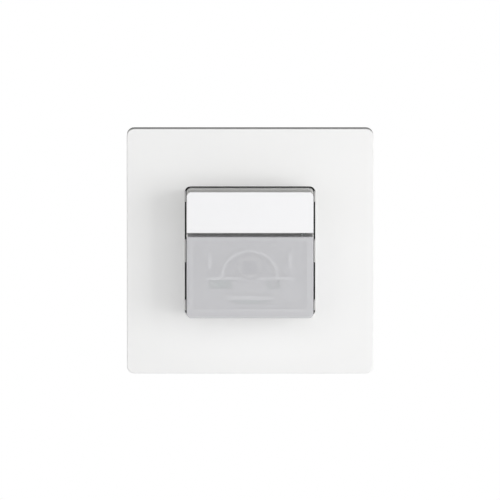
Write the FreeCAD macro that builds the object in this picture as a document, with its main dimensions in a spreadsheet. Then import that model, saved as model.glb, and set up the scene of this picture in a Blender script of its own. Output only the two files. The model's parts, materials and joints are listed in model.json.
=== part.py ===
import FreeCAD, Part
import math
import os
import re
import Sketcher
from FreeCAD import Vector

# Flush-mounted presence detector: a square cover plate on a steel mounting plate, a sensor head that
# stands forward through the plate's opening, and a power insert behind it in the wall box.
# X is to the right, Z is up, and the wall plane is y = 0 with the room on the side of negative y.
# Lengths are in millimetres. "Forward" heights are measured from the wall plane towards the room.

SIZES = {
    # Cover plate
    "plate_side": 88.0,
    "plate_depth": 5.6,
    "plate_wall": 2.0,
    "plate_corner": 2.6,
    "plate_edge": 0.4,
    "opening_corner": 2.0,
    "collar_wall": 1.5,
    "collar_clearance": 0.2,
    "rib_proud": 0.45,
    "rib_setback": 1.2,
    "middle_rib": 8.2,
    "end_rib": 3.8,
    "end_rib_place": 19.5,
    "hook_x": 20.0,
    "hook_z": 31.0,
    "hook_width": 6.0,
    "hook_thickness": 1.4,
    "hook_catch": 0.5,
    "hook_nose": 1.2,
    # Steel mounting plate
    "mounting_side": 71.0,
    "mounting_thickness": 1.2,
    "mounting_corner": 4.0,
    "window_margin": 2.0,
    "window_corner": 10.0,
    "box_screw_pitch": 60.0,
    "slot_width": 3.8,
    "slot_length": 7.0,
    # Sensor head
    "module_side": 45.25,
    "module_gap": 0.675,
    "module_front": 18.5,
    "module_corner": 1.7,
    "front_edge": 0.35,
    "housing_rim": 8.0,
    "seam": 0.1,
    "tongue_height": 2.0,
    "tongue_wall": 1.0,
    "partition_wall": 1.0,
    "base_thickness": 1.5,
    # Button
    "button_height": 14.65,
    "button_wall": 1.5,
    "button_rise": 0.7,
    "slot_height": 1.475,
    "pivot_forward": 8.2,
    "pivot_drop": 4.225,
    "pivot_radius": 1.2,
    "pivot_clearance": 0.05,
    "ear_width": 1.7,
    "ear_half": 1.9,
    "ear_gap": 0.2,
    "arm_width": 1.5,
    "arm_half": 1.8,
    "post_radius": 1.2,
    "post_gap": 0.1,
    # Lens cap
    "lens_wall": 1.0,
    "lens_skirt": 1.2,
    "lens_inner_corner": 1.1,
    # Sensor board and what stands on it
    "board_thickness": 1.6,
    "board_back": 4.6,
    "board_gap": 0.2,
    "board_corner": 1.0,
    "board_stop": 1.2,
    "board_stop_length": 4.8,
    "base_gap": 0.6,
    "peg_radius": 1.6,
    "peg_inset": 4.2,
    "switch_side": 6.2,
    "switch_height": 3.5,
    "switch_drop": 9.625,
    "plunger_radius": 1.7,
    "plunger_proud": 1.2,
    "plunger_inside": 0.6,
    "running_gap": 0.05,
    "trimmer_side": 6.5,
    "trimmer_height": 4.0,
    "trimmer_inset": 8.825,
    "trimmer_drop": 8.125,
    "dial_radius": 2.2,
    "dial_height": 1.2,
    "dial_shaft": 1.5,
    "dial_shaft_length": 1.5,
    "dial_slot": 0.7,
    "guide_inset": 1.3,
    "guide_width": 1.8,
    "guide_thickness": 0.7,
    "guide_front": 12.0,
    "led_height": 0.7,
    "led_length": 1.6,
    "led_width": 0.8,
    "controller_side": 7.0,
    "controller_height": 1.1,
    "controller_inset": 10.325,
    "controller_drop": 6.0,
    "photocell_side": 2.4,
    "photocell_height": 1.0,
    # Pyroelectric sensor and its holder
    "sensor_share": 0.394,
    "can_radius": 4.1,
    "flange_radius": 4.6,
    "flange_thickness": 0.6,
    "can_height": 4.2,
    "can_standoff": 2.4,
    "window_width": 5.3,
    "window_height": 4.6,
    "window_thickness": 0.5,
    "lead_radius": 0.23,
    "lead_circle": 2.54,
    "lead_tail": 0.8,
    "sensor_clearance": 0.2,
    "holder_inset": 3.3,
    "holder_top_gap": 0.8,
    "holder_foot_gap": 1.3,
    "holder_standoff": 1.3,
    "holder_wall": 1.0,
    "holder_foot": 1.5,
    "arch_drop": 2.5,
    "arch_share": 0.35,
    "arch_wall": 1.0,
    "arch_height": 3.6,
    "shelf_drop": 3.5,
    "shelf_wall": 1.0,
    "shelf_height": 4.2,
    "fin_inset": 2.7,
    "fin_wall": 1.2,
    "fin_length": 5.9,
    "cutout_margin": 2.4,
    "wide_cutout": 8.2,
    "narrow_cutout": 4.7,
    "narrow_inset": 8.675,
    "cutout_height": 3.8,
    "reflector_half": 8.4,
    "reflector_wall": 1.5,
    "reflector_height": 3.0,
    "trough_height": 2.1,
    "trough_half": 4.4,
    # Plug between the head and the insert
    "pin_pitch": 2.54,
    "pin_columns": 5.0,
    "pin_radius": 0.32,
    "pin_tip": 4.4,
    "pin_tail": 0.9,
    "strip_height": 2.4,
    "strip_half_width": 2.5,
    "strip_margin": 1.3,
    "socket_clearance": 0.13,
    "plug_clearance": 0.4,
    # Snap legs of the sensor head
    "leg_inset": 4.0,
    "leg_width": 6.0,
    "leg_thickness": 1.2,
    "leg_catch": 0.5,
    "leg_clearance": 0.2,
    # Power insert
    "rear_half": 22.0,
    "rear_depth": 25.0,
    "rear_corner": 8.0,
    "rear_wall": 1.5,
    "rear_edge": 1.0,
    "flange_lip": 2.0,
    "flange_corner": 12.0,
    "rear_flange": 1.6,
    "screw_inset": 1.5,
    "boss_radius": 2.4,
    "screw_radius": 1.2,
    "screw_head": 2.2,
    "screw_length": 4.5,
    "drive_depth": 0.6,
    "drive_width": 0.6,
    "cover_back": 0.3,
    "cover_thickness": 1.5,
    "cover_fit": 0.2,
    "ledge_width": 1.2,
    "ledge_length": 5.0,
    "ledge_place": 9.0,
    "power_board_place": 5.0,
    # Parts on the power board
    "relay_length": 20.0,
    "relay_width": 10.2,
    "relay_height": 12.5,
    "relay_side_gap": 1.5,
    "relay_top_gap": 2.4,
    "film_length": 13.0,
    "film_width": 6.0,
    "film_height": 12.0,
    "part_gap": 1.2,
    "case_edge": 0.3,
    "storage_radius": 4.0,
    "storage_height": 11.5,
    "varistor_radius": 3.75,
    "varistor_thickness": 3.4,
    "dip_edge": 1.1,
    "varistor_side_gap": 8.0,
    "varistor_gap": 3.2,
    "wire_radius": 0.3,
    "wire_spread": 2.5,
    "resistor_radius": 1.7,
    "resistor_length": 9.0,
    "barrel_edge": 0.5,
    "resistor_x": -8.0,
    "resistor_drop": 7.5,
    "resistor_rise": 2.6,
    "lead_reach": 1.6,
    "wire_bend": 0.8,
    "bridge_length": 6.4,
    "bridge_width": 5.0,
    "bridge_height": 2.6,
    # Terminals
    "block_half": 14.5,
    "block_depth": 10.0,
    "block_fit": 0.1,
    "pole_pitch": 7.0,
    "cell_wall": 1.0,
    "cell_width": 5.2,
    "cell_front": 1.6,
    "cage_width": 5.0,
    "cage_wall": 0.8,
    "cage_nut": 1.2,
    "cage_play": 0.1,
    "clamp_travel": 2.0,
    "wire_space": 3.0,
    "strip_thickness": 0.8,
    "strip_width": 3.0,
    "strip_play": 0.3,
    "entry_radius": 1.4,
    "clamp_screw": 1.5,
    "clamp_head": 2.2,
    "clamp_head_height": 1.6,
    "head_recess": 2.2,
    "head_play": 0.1,
}

# Places that follow from the sizes. A name here may be used in the ones below it.
PLACES = {
    "plate_half": "plate_side / 2",
    "module_half": "module_side / 2",
    "opening_half": "module_half + module_gap",
    "collar_half": "opening_half + collar_wall",
    "collar_foot": "mounting_thickness + collar_clearance",
    "rib_front": "plate_depth - rib_setback",
    "mounting_half": "mounting_side / 2",
    "window_half": "rear_half - window_margin",
    # Button, slot and lens, from the top edge downwards
    "button_bottom": "module_half - button_height",
    "lens_top": "button_bottom - slot_height",
    "button_back": "housing_rim + button_rise",
    "button_inside": "module_front - button_wall",
    "lens_height": "lens_top + module_half",
    "lens_back": "housing_rim + seam",
    "lens_inside": "module_front - lens_wall",
    "pivot_z": "module_half - pivot_drop",
    "switch_z": "module_half - switch_drop",
    "trimmer_z": "module_half - trimmer_drop",
    # Front housing
    "tongue_front": "housing_rim + tongue_height",
    "tongue_half": "module_half - lens_skirt - seam",
    "cavity_half": "tongue_half - tongue_wall",
    "tongue_top": "lens_top - lens_skirt - seam",
    "partition_bottom": "tongue_top - partition_wall",
    "base_front": "mounting_thickness + base_thickness",
    "base_half": "cavity_half - base_gap",
    "peg_place": "base_half - peg_inset",
    "leg_x": "window_half - leg_inset",
    "stop_high": "pivot_z - ear_half - (board_stop_length + board_stop) / 2",
    "stop_low": "-cavity_half / 2",
    "ear_x": "cavity_half - ear_width",
    "arm_x": "ear_x - ear_gap - arm_width",
    # Sensor board
    "board_front": "board_back + board_thickness",
    "board_half": "cavity_half - board_gap",
    "web_back": "board_front + board_gap",
    "switch_front": "board_front + switch_height",
    "plunger_front": "switch_front + plunger_proud",
    "post_tip": "plunger_front + post_gap",
    "trimmer_x": "cavity_half - trimmer_inset",
    "trimmer_front": "board_front + trimmer_height",
    "guide_z": "lens_top + guide_thickness / 2 + seam",
    "guide_back": "board_front + led_height + seam",
    "guide_x": "cavity_half - guide_inset",
    "can_back": "board_front + can_standoff",
    "can_front": "can_back + can_height",
    "holder_back": "board_front + holder_standoff",
    "holder_front": "holder_back + holder_wall",
    "sensor_z": "lens_top - lens_height * sensor_share",
    "holder_half": "cavity_half - holder_inset",
    "holder_top": "partition_bottom - holder_top_gap",
    "holder_bottom": "-cavity_half + holder_foot_gap",
    "arch_z": "sensor_z - arch_drop",
    "arch_radius": "lens_height * arch_share",
    "shelf_z": "sensor_z - shelf_drop",
    "fin_x": "holder_half - fin_inset",
    "fin_top": "sensor_z + flange_radius + board_stop / 2",
    "fin_bottom": "fin_top - fin_length",
    "cutout_top": "shelf_z - shelf_wall",
    "cutout_bottom": "cutout_top - cutout_height",
    "reflector_bottom": "holder_bottom + trough_height",
    "reflector_top": "reflector_bottom + reflector_wall",
    "photocell_z": "(cutout_top + cutout_bottom) / 2",
    "narrow_place": "holder_half - narrow_inset",
    "controller_x": "-(cavity_half - controller_inset)",
    "controller_z": "sensor_z - controller_drop",
    # Plug and socket, where depths behind the wall plane are negative forward heights
    "strip_half": "pin_pitch * (pin_columns - 1) / 2 + strip_margin",
    "strip_back": "board_back - strip_height",
    "power_front": "-power_board_place",
    "power_back": "-power_board_place - board_thickness",
    "socket_front": "-board_gap",
    # Power insert
    "rear_end": "-rear_depth",
    "rear_inside": "-rear_depth + rear_wall",
    "inner_half": "rear_half - rear_wall",
    "inner_corner": "rear_corner - rear_wall",
    "flange_half": "rear_half + flange_lip",
    "screw_place": "inner_half - screw_inset",
    "cover_rear": "-cover_back - cover_thickness",
    # Parts on the power board, from the top left corner
    "relay_x": "-inner_half + relay_side_gap + relay_length / 2",
    "relay_z": "inner_half - relay_top_gap - relay_width / 2",
    "film_x": "relay_x + relay_length / 2 + part_gap + film_width / 2",
    "film_z": "inner_half - relay_top_gap - film_length / 2",
    "storage_x": "film_x",
    "storage_z": "film_z - film_length / 2 - part_gap - storage_radius",
    "bridge_x": "storage_x - storage_radius - part_gap - bridge_length / 2",
    "varistor_x": "-inner_half + varistor_side_gap",
    "varistor_z": "relay_z - relay_width / 2 - varistor_gap - varistor_thickness / 2",
    "bridge_z": "varistor_z",
    "resistor_z": "varistor_z - resistor_drop",
    # Terminal block, from its bottom face upwards
    "block_bottom": "-rear_half",
    "cage_height": "cage_wall + wire_space + strip_thickness + strip_play + cage_nut",
    "cell_height": "cage_height + clamp_travel + 2 * cage_play",
    "block_top": "block_bottom + head_recess + 2 * cell_wall + cell_height",
    "block_front": "-rear_depth + block_depth",
    "ledge_bottom": "block_bottom + head_recess",
    "cell_bottom": "ledge_bottom + cell_wall",
    "cell_top": "block_top - cell_wall",
    "cage_top": "cell_top - cage_play",
    "cage_ceiling": "cage_top - cage_wall",
    "strip_top": "cage_ceiling - wire_space",
    "strip_bottom": "strip_top - strip_thickness",
    "nut_top": "strip_bottom - strip_play",
    "cage_bottom": "nut_top - cage_nut",
    "entry_z": "cage_ceiling - wire_space / 2",
    "cell_mouth": "block_front - cell_front",
    "cell_depth": "cell_width",
    "cell_end": "cell_mouth - cell_depth",
    "cage_slack": "(cell_width - cage_width) / 2",
}

WORD = re.compile(r"[a-z_]+")
SIDES = (-1, 1)

doc = FreeCAD.newDocument("PresenceDetector")
sheet = doc.addObject("Spreadsheet::Sheet", "Sizes")
for row, (alias, value) in enumerate(SIZES.items(), 1):
    sheet.set(f"A{row}", alias)
    sheet.set(f"B{row}", str(value))
    sheet.setAlias(f"B{row}", alias)
doc.recompute()


def in_cells(expression):
    """Write an expression on named sizes and places as one on the sheet's cells."""
    def cell(match):
        word = match.group(0)
        if word in SIZES:
            return f"Sizes.{word}"
        return f"({in_cells(PLACES[word])})"
    return WORD.sub(cell, str(expression))


def number(expression):
    """The present value of an expression."""
    return float(sheet.evalExpression(in_cells(expression)))


def bind(thing, prop, expression):
    """Tie a property to the sheet."""
    thing.setExpression(prop, in_cells(expression))


def piece(label, several=False):
    """A body of its own, named after the physical piece."""
    body = doc.addObject("PartDesign::Body", label)
    body.Label = label
    body.AllowCompound = several
    return body


def sketch_on(body, name, place, plane="XZ_Plane"):
    """A sketch on one of the body's origin planes, moved along the plane's normal."""
    sketch = body.newObject("Sketcher::SketchObject", name)
    face = next(f for f in body.Origin.OriginFeatures if f.Role == plane)
    sketch.AttachmentSupport = [(face, "")]
    sketch.MapMode = "FlatFace"
    bind(sketch, "AttachmentOffset.Base.z", place)
    return sketch


def hold(sketch, kind, *where, value=None):
    """Add a constraint and tie its value to the sheet."""
    if value is None:
        return sketch.addConstraint(Sketcher.Constraint(kind, *where))
    count = sketch.addConstraint(Sketcher.Constraint(kind, *where, number(value)))
    bind(sketch, f"Constraints[{count}]", value)
    return count


def draw_circle(sketch, x, y, radius):
    """A circle held by its centre and radius."""
    shape = Part.Circle(Vector(number(x), number(y), 0), Vector(0, 0, 1), number(radius))
    circle = sketch.addGeometry(shape, False)
    hold(sketch, "DistanceX", -1, 1, circle, 3, value=x)
    hold(sketch, "DistanceY", -1, 1, circle, 3, value=y)
    hold(sketch, "Radius", circle, value=radius)


def draw_polygon(sketch, points):
    """Straight lines through corners that are each held from the origin."""
    corners = [Vector(number(x), number(y), 0) for x, y in points]
    lines = [sketch.addGeometry(Part.LineSegment(corners[i - 1], corner), False)
             for i, corner in enumerate(corners)]
    for i, line in enumerate(lines):
        hold(sketch, "Coincident", lines[i - 1], 2, line, 1)
        hold(sketch, "DistanceX", -1, 1, line, 2, value=points[i][0])
        hold(sketch, "DistanceY", -1, 1, line, 2, value=points[i][1])


def draw_box(sketch, bounds, radius=None, corners=(1, 1, 1, 1)):
    """A rectangle (left, right, bottom, top) with the marked corners rounded.

    The corners are counted from bottom left, anticlockwise.
    """
    left, right, bottom, top = (number(bound) for bound in bounds)
    reach = number(radius) if radius else 0.0
    spots = ((left, bottom), (right, bottom), (right, top), (left, top))
    runs = ((1, 0), (0, 1), (-1, 0), (0, -1))
    lines = []
    for i, (x, y) in enumerate(spots):
        after = (i + 1) % 4
        start = reach * corners[i]
        stop = reach * corners[after]
        first = Vector(x + runs[i][0] * start, y + runs[i][1] * start, 0)
        last = Vector(spots[after][0] - runs[i][0] * stop, spots[after][1] - runs[i][1] * stop, 0)
        lines.append(sketch.addGeometry(Part.LineSegment(first, last), False))
        hold(sketch, "Vertical" if i % 2 else "Horizontal", lines[i])
    arcs = []
    for i, (x, y) in enumerate(spots):
        if not corners[i] or not radius:
            hold(sketch, "Coincident", lines[i - 1], 2, lines[i], 1)
            continue
        centre = Vector(x + reach * (1 if i in (0, 3) else -1), y + reach * (1 if i < 2 else -1), 0)
        circle = Part.Circle(centre, Vector(0, 0, 1), reach)
        turn = math.pi * (1 + i / 2)
        arc = sketch.addGeometry(Part.ArcOfCircle(circle, turn, turn + math.pi / 2), False)
        hold(sketch, "Tangent", lines[i - 1], 2, arc, 1)
        hold(sketch, "Tangent", arc, 2, lines[i], 1)
        if arcs:
            hold(sketch, "Equal", arcs[0], arc)
        else:
            hold(sketch, "Radius", arc, value=radius)
        arcs.append(arc)
    for line, kind, bound in zip((3, 1, 0, 2), ("DistanceX", "DistanceX", "DistanceY", "DistanceY"), bounds):
        hold(sketch, kind, -1, 1, lines[line], 1, value=bound)


def draw_slot(sketch, x, y, length, width, upright):
    """A slot with round ends, centred at x, y."""
    half = (number(length) - number(width)) / 2
    radius = number(width) / 2
    centre = Vector(number(x), number(y), 0)
    run = Vector(0, 1, 0) if upright else Vector(1, 0, 0)
    side = Vector(-1, 0, 0) if upright else Vector(0, 1, 0)
    start = math.pi / 2 if upright else 0
    near = Part.Circle(centre - run * half, Vector(0, 0, 1), radius)
    far = Part.Circle(centre + run * half, Vector(0, 0, 1), radius)
    near_arc = sketch.addGeometry(Part.ArcOfCircle(near, start + math.pi / 2, start + math.pi * 3 / 2), False)
    far_arc = sketch.addGeometry(Part.ArcOfCircle(far, start - math.pi / 2, start + math.pi / 2), False)
    low = Part.LineSegment(centre - run * half - side * radius, centre + run * half - side * radius)
    high = Part.LineSegment(centre + run * half + side * radius, centre - run * half + side * radius)
    low_line = sketch.addGeometry(low, False)
    high_line = sketch.addGeometry(high, False)
    hold(sketch, "Tangent", near_arc, 2, low_line, 1)
    hold(sketch, "Tangent", low_line, 2, far_arc, 1)
    hold(sketch, "Tangent", far_arc, 2, high_line, 1)
    hold(sketch, "Tangent", high_line, 2, near_arc, 1)
    hold(sketch, "Radius", near_arc, value=f"({width}) / 2")
    reach = f"(({length}) - ({width})) / 2"
    steps = ((near_arc, -1), (far_arc, 1))
    for arc, sign in steps:
        along_x = x if upright else f"{x} + {sign} * {reach}"
        along_y = f"{y} + {sign} * {reach}" if upright else y
        if arc == near_arc or not upright:
            hold(sketch, "DistanceX", -1, 1, arc, 3, value=along_x)
        if arc == near_arc or upright:
            hold(sketch, "DistanceY", -1, 1, arc, 3, value=along_y)


def draw_staple(sketch, left, right, foot, bridge, bend):
    """An open path up from the left foot, across and down to the right foot, with two round bends."""
    x_left, x_right, y_foot, y_bridge, reach = (number(size) for size in (left, right, foot, bridge, bend))
    rise = Part.LineSegment(Vector(x_left, y_foot, 0), Vector(x_left, y_bridge - reach, 0))
    span = Part.LineSegment(Vector(x_left + reach, y_bridge, 0), Vector(x_right - reach, y_bridge, 0))
    fall = Part.LineSegment(Vector(x_right, y_bridge - reach, 0), Vector(x_right, y_foot, 0))
    near = Part.Circle(Vector(x_left + reach, y_bridge - reach, 0), Vector(0, 0, 1), reach)
    far = Part.Circle(Vector(x_right - reach, y_bridge - reach, 0), Vector(0, 0, 1), reach)
    bends = (Part.ArcOfCircle(near, math.pi / 2, math.pi), Part.ArcOfCircle(far, 0, math.pi / 2))
    up, across, down = (sketch.addGeometry(line, False) for line in (rise, span, fall))
    first, second = (sketch.addGeometry(arc, False) for arc in bends)
    hold(sketch, "Tangent", up, 2, first, 2)
    hold(sketch, "Tangent", first, 1, across, 1)
    hold(sketch, "Tangent", across, 2, second, 2)
    hold(sketch, "Tangent", second, 1, down, 1)
    hold(sketch, "Vertical", up)
    hold(sketch, "Vertical", down)
    hold(sketch, "Horizontal", across)
    hold(sketch, "Radius", first, value=bend)
    hold(sketch, "Equal", first, second)
    hold(sketch, "DistanceX", -1, 1, up, 1, value=left)
    hold(sketch, "DistanceX", -1, 1, down, 2, value=right)
    hold(sketch, "DistanceY", -1, 1, up, 1, value=foot)
    hold(sketch, "DistanceY", -1, 1, down, 2, value=foot)
    hold(sketch, "DistanceY", -1, 1, across, 1, value=bridge)


def pad(body, name, low, high, draw, *shape, plane="XZ_Plane", **more):
    """Material between two heights on the plane's normal."""
    sketch = sketch_on(body, f"{name}_outline", low, plane)
    draw(sketch, *shape, **more)
    feature = body.newObject("PartDesign::Pad", name)
    feature.Profile = sketch
    bind(feature, "Length", f"({high}) - ({low})")
    return feature


def cut(body, name, low, high, draw, *shape, plane="XZ_Plane", **more):
    """A pocket from the high place down to the low one."""
    sketch = sketch_on(body, f"{name}_outline", high, plane)
    draw(sketch, *shape, **more)
    feature = body.newObject("PartDesign::Pocket", name)
    feature.Profile = sketch
    bind(feature, "Length", f"({high}) - ({low})")
    return feature


def turned(body, name, points):
    """A solid of revolution about the vertical axis from a (radius, height) profile."""
    sketch = sketch_on(body, f"{name}_profile", "0")
    draw_polygon(sketch, points)
    feature = body.newObject("PartDesign::Revolution", name)
    feature.Profile = sketch
    feature.ReferenceAxis = (sketch, ["V_Axis"])
    feature.Angle = 360
    return feature


def edges_where(feature, test):
    """Names of the edges whose middle point passes the test."""
    doc.recompute()
    names = []
    for count, edge in enumerate(feature.Shape.Edges, 1):
        middle = edge.valueAt((edge.FirstParameter + edge.LastParameter) / 2)
        if test(middle):
            names.append(f"Edge{count}")
    return names


def rounded(body, name, feature, radius, test):
    """Round the edges that pass the test."""
    fillet = body.newObject("PartDesign::Fillet", name)
    fillet.Base = (feature, edges_where(feature, test))
    bind(fillet, "Radius", radius)
    return fillet


def square(half):
    """Bounds of a square about the origin."""
    return (f"-({half})", half, f"-({half})", half)


def around(x, z, width, height):
    """Bounds of a rectangle about a point."""
    return (f"{x} - ({width}) / 2", f"{x} + ({width}) / 2", f"{z} - ({height}) / 2", f"{z} + ({height}) / 2")


def at_height(forward):
    """A test for points at a forward height."""
    level = -number(forward)
    return lambda point: abs(point.y - level) < 1e-4


# Cover plate

def make_cover_plate():
    body = piece("cover_plate")
    pad(body, "slab", "0", "plate_depth", draw_box, square("plate_half"), "plate_corner")
    cut(body, "hollow", "0", "plate_depth - plate_wall", draw_box, square("plate_half - plate_wall"),
        "plate_corner / 2")
    pad(body, "collar", "collar_foot", "plate_depth - plate_wall / 2", draw_box, square("collar_half"),
        "opening_corner + collar_wall")
    opened = cut(body, "opening", "0", "plate_depth", draw_box, square("opening_half"), "opening_corner")
    reach = number("opening_half") + number("plate_edge")
    front = at_height("plate_depth")
    rounded(body, "front_edge", opened, "plate_edge",
            lambda p: front(p) and max(abs(p.x), abs(p.z)) > reach)
    for side in SIDES:
        hand = "left" if side < 0 else "right"
        wall = f"{side} * opening_half"
        inner = f"{side} * (opening_half - rib_proud)"
        near, far = (wall, inner) if side < 0 else (inner, wall)
        for part, z, height in (("low", "-end_rib_place", "end_rib"), ("middle", "0", "middle_rib"),
                                ("high", "end_rib_place", "end_rib")):
            bounds = (f"{near} - {max(-side, 0)} * rib_proud", f"{far} + {max(side, 0)} * rib_proud",
                      f"{z} - {height} / 2", f"{z} + {height} / 2")
            pad(body, f"rib_{hand}_{part}", "collar_foot", "rib_front", draw_box, bounds)
        for level in SIDES:
            height = "low" if level < 0 else "high"
            x = f"{side} * hook_x"
            root = f"{level} * hook_z"
            pad(body, f"hook_{hand}_{height}", "-hook_nose - board_gap", "plate_depth - plate_wall / 2",
                draw_box, around(x, root, "hook_width", "hook_thickness"))
            nose = f"{level} * (hook_z + hook_catch)"
            pad(body, f"catch_{hand}_{height}", "-hook_nose - board_gap", "-board_gap", draw_box,
                around(x, nose, "hook_width", "hook_thickness"))
    return body


def make_mounting_plate():
    body = piece("mounting_plate")
    pad(body, "sheet", "0", "mounting_thickness", draw_box, square("mounting_half"), "mounting_corner")
    cut(body, "window", "0", "mounting_thickness", draw_box, square("window_half"), "window_corner")
    for side in SIDES:
        hand = "left" if side < 0 else "right"
        height = "low" if side < 0 else "high"
        cut(body, f"slot_{hand}", "0", "mounting_thickness", draw_slot, f"{side} * box_screw_pitch / 2",
            "0", "slot_length", "slot_width", False)
        cut(body, f"slot_{height}", "0", "mounting_thickness", draw_slot, "0",
            f"{side} * box_screw_pitch / 2", "slot_length", "slot_width", True)
        for level in SIDES:
            place = "low" if level < 0 else "high"
            cut(body, f"hook_window_{hand}_{place}", "0", "mounting_thickness", draw_box,
                around(f"{side} * hook_x", f"{level} * hook_z", "hook_width + 2 * leg_clearance",
                       "hook_thickness + 2 * leg_clearance"))
            cone = cut(body, f"screw_hole_{hand}_{place}", "0", "mounting_thickness", draw_circle,
                       f"{side} * screw_place", f"{level} * screw_place", "screw_radius + running_gap")
            countersink = body.newObject("PartDesign::Chamfer", f"countersink_{hand}_{place}")
            front = at_height("mounting_thickness")
            x = side * number("screw_place")
            z = level * number("screw_place")
            ring = number("screw_radius + running_gap") * 1.5
            countersink.Base = (cone, edges_where(
                cone, lambda p: front(p) and math.hypot(p.x - x, p.z - z) < ring))
            bind(countersink, "Size", "screw_head - screw_radius")
    return body


# Sensor head

def make_front_housing():
    body = piece("front_housing")
    pad(body, "wall", "mounting_thickness", "housing_rim", draw_box, square("module_half"), "module_corner")
    tongue = ("-tongue_half", "tongue_half", "-tongue_half", "tongue_top")
    pad(body, "tongue", "board_front", "tongue_front", draw_box, tongue, "lens_inner_corner",
        corners=(1, 1, 0, 0))
    cut(body, "cavity_low", "0", "tongue_front", draw_box,
        ("-cavity_half", "cavity_half", "-cavity_half", "partition_bottom"))
    cut(body, "cavity_high", "0", "tongue_front", draw_box,
        ("-cavity_half", "cavity_half", "tongue_top", "cavity_half"))
    cut(body, "board_room", "0", "web_back", draw_box, square("cavity_half"))
    web = ("-cavity_half - seam", "cavity_half + seam", "partition_bottom", "button_bottom + seam")
    pad(body, "web", "web_back", "web_back + partition_wall", draw_box, web)
    cut(body, "guide_hole", "web_back", "web_back + partition_wall", draw_box,
        around("guide_x", "guide_z", "guide_width + 2 * seam", "guide_thickness + 2 * seam"))
    for side in SIDES:
        hand = "left" if side < 0 else "right"
        ear = (f"{side} * (ear_x + ear_width / 2)", "pivot_z", "ear_width + 2 * seam", "2 * ear_half")
        pad(body, f"ear_{hand}", "web_back", "pivot_forward + ear_half", draw_box, around(*ear))
        for word, z in (("low", "stop_low"), ("high", "stop_high")):
            stop = around(f"{side} * (cavity_half - board_stop / 2)", z, "board_stop + 2 * seam",
                          "board_stop_length")
            pad(body, f"stop_{hand}_{word}", "board_front", "board_front + board_stop", draw_box, stop)
    cut(body, "pivot_bore", "-cavity_half - seam", "cavity_half + seam", draw_circle, "-pivot_forward",
        "pivot_z", "pivot_radius + pivot_clearance", plane="YZ_Plane")
    return body


def make_sensor_base():
    body = piece("sensor_base")
    pad(body, "plate", "mounting_thickness", "base_front", draw_box, square("base_half"), "board_corner")
    opening = around("0", "0", "2 * (strip_half + plug_clearance)", "2 * (strip_half_width + plug_clearance)")
    cut(body, "plug_opening", "mounting_thickness", "base_front", draw_box, opening)
    for side in SIDES:
        hand = "left" if side < 0 else "right"
        for level in SIDES:
            height = "low" if level < 0 else "high"
            pad(body, f"peg_{hand}_{height}", "mounting_thickness", "board_back", draw_circle,
                f"{side} * peg_place", f"{level} * peg_place", "peg_radius")
        end = "cover_rear - board_gap - leg_thickness"
        pad(body, f"leg_{hand}", end, "base_front", draw_box,
            around(f"{side} * leg_x", "0", "leg_thickness", "leg_width"))
        pad(body, f"catch_{hand}", end, "cover_rear - board_gap", draw_box,
            around(f"{side} * (leg_x + leg_catch)", "0", "leg_thickness", "leg_width"))
    return body


def make_lens():
    body = piece("lens")
    outline = ("-module_half", "module_half", "-module_half", "lens_top")
    cap = pad(body, "cap", "lens_back", "module_front", draw_box, outline, "module_corner",
              corners=(1, 1, 0, 0))
    front = at_height("module_front")
    slot = number("lens_top")
    rounded(body, "front_edge", cap, "front_edge", lambda p: front(p) and p.z < slot - 0.01)
    inner = "module_half - lens_skirt"
    cut(body, "hollow", "lens_back", "lens_inside", draw_box,
        (f"-({inner})", inner, f"-({inner})", "lens_top - lens_skirt"), "lens_inner_corner",
        corners=(1, 1, 0, 0))
    return body


def make_button():
    body = piece("button")
    outline = ("-module_half", "module_half", "button_bottom", "module_half")
    cap = pad(body, "cap", "button_back", "module_front", draw_box, outline, "module_corner",
              corners=(0, 0, 1, 1))
    front = at_height("module_front")
    slot = number("button_bottom")
    rounded(body, "front_edge", cap, "front_edge", lambda p: front(p) and p.z > slot + 0.01)
    inner = "module_half - button_wall"
    cut(body, "hollow", "button_back", "button_inside", draw_box,
        (f"-({inner})", inner, "button_bottom + button_wall", inner))
    for side in SIDES:
        hand = "left" if side < 0 else "right"
        middle = f"{side} * (arm_x + arm_width / 2)"
        pad(body, f"arm_{hand}", "pivot_forward - arm_half", "button_inside + seam", draw_box,
            around(middle, "pivot_z", "arm_width", "2 * arm_half"))
        low, high = ("arm_x", "cavity_half - ear_gap") if side > 0 else ("-cavity_half + ear_gap", "-arm_x")
        pad(body, f"stub_{hand}", low, high, draw_circle, "-pivot_forward", "pivot_z", "pivot_radius",
            plane="YZ_Plane")
    pad(body, "post", "post_tip", "button_inside + seam", draw_circle, "0", "switch_z", "post_radius")
    return body


def make_sensor_board():
    body = piece("sensor_board")
    pad(body, "laminate", "board_back", "board_front", draw_box, square("board_half"), "board_corner")
    for row in SIDES:
        sketch = sketch_on(body, f"pin_row_{'low' if row < 0 else 'high'}", "board_front")
        for column in range(int(SIZES["pin_columns"])):
            draw_circle(sketch, pin_x(column), f"{row} * pin_pitch / 2", "pin_radius + running_gap")
        holes = body.newObject("PartDesign::Pocket", f"pin_holes_{'low' if row < 0 else 'high'}")
        holes.Profile = sketch
        bind(holes, "Length", "board_thickness")
    for count in range(LEADS):
        x, z = lead_place(count)
        cut(body, f"lead_hole_{count + 1}", "board_back", "board_front", draw_circle, x, z,
            "lead_radius + running_gap")
    return body


def pin_x(column):
    """The place of a column of plug pins."""
    return f"({column} - (pin_columns - 1) / 2) * pin_pitch"


LEADS = 3


def lead_place(count):
    """The place of one of the sensor's leads, on a circle about the sensor."""
    turn = math.radians(180 + 90 * count)
    return (f"{round(math.cos(turn))} * lead_circle", f"sensor_z + {round(math.sin(turn))} * lead_circle")


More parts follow.
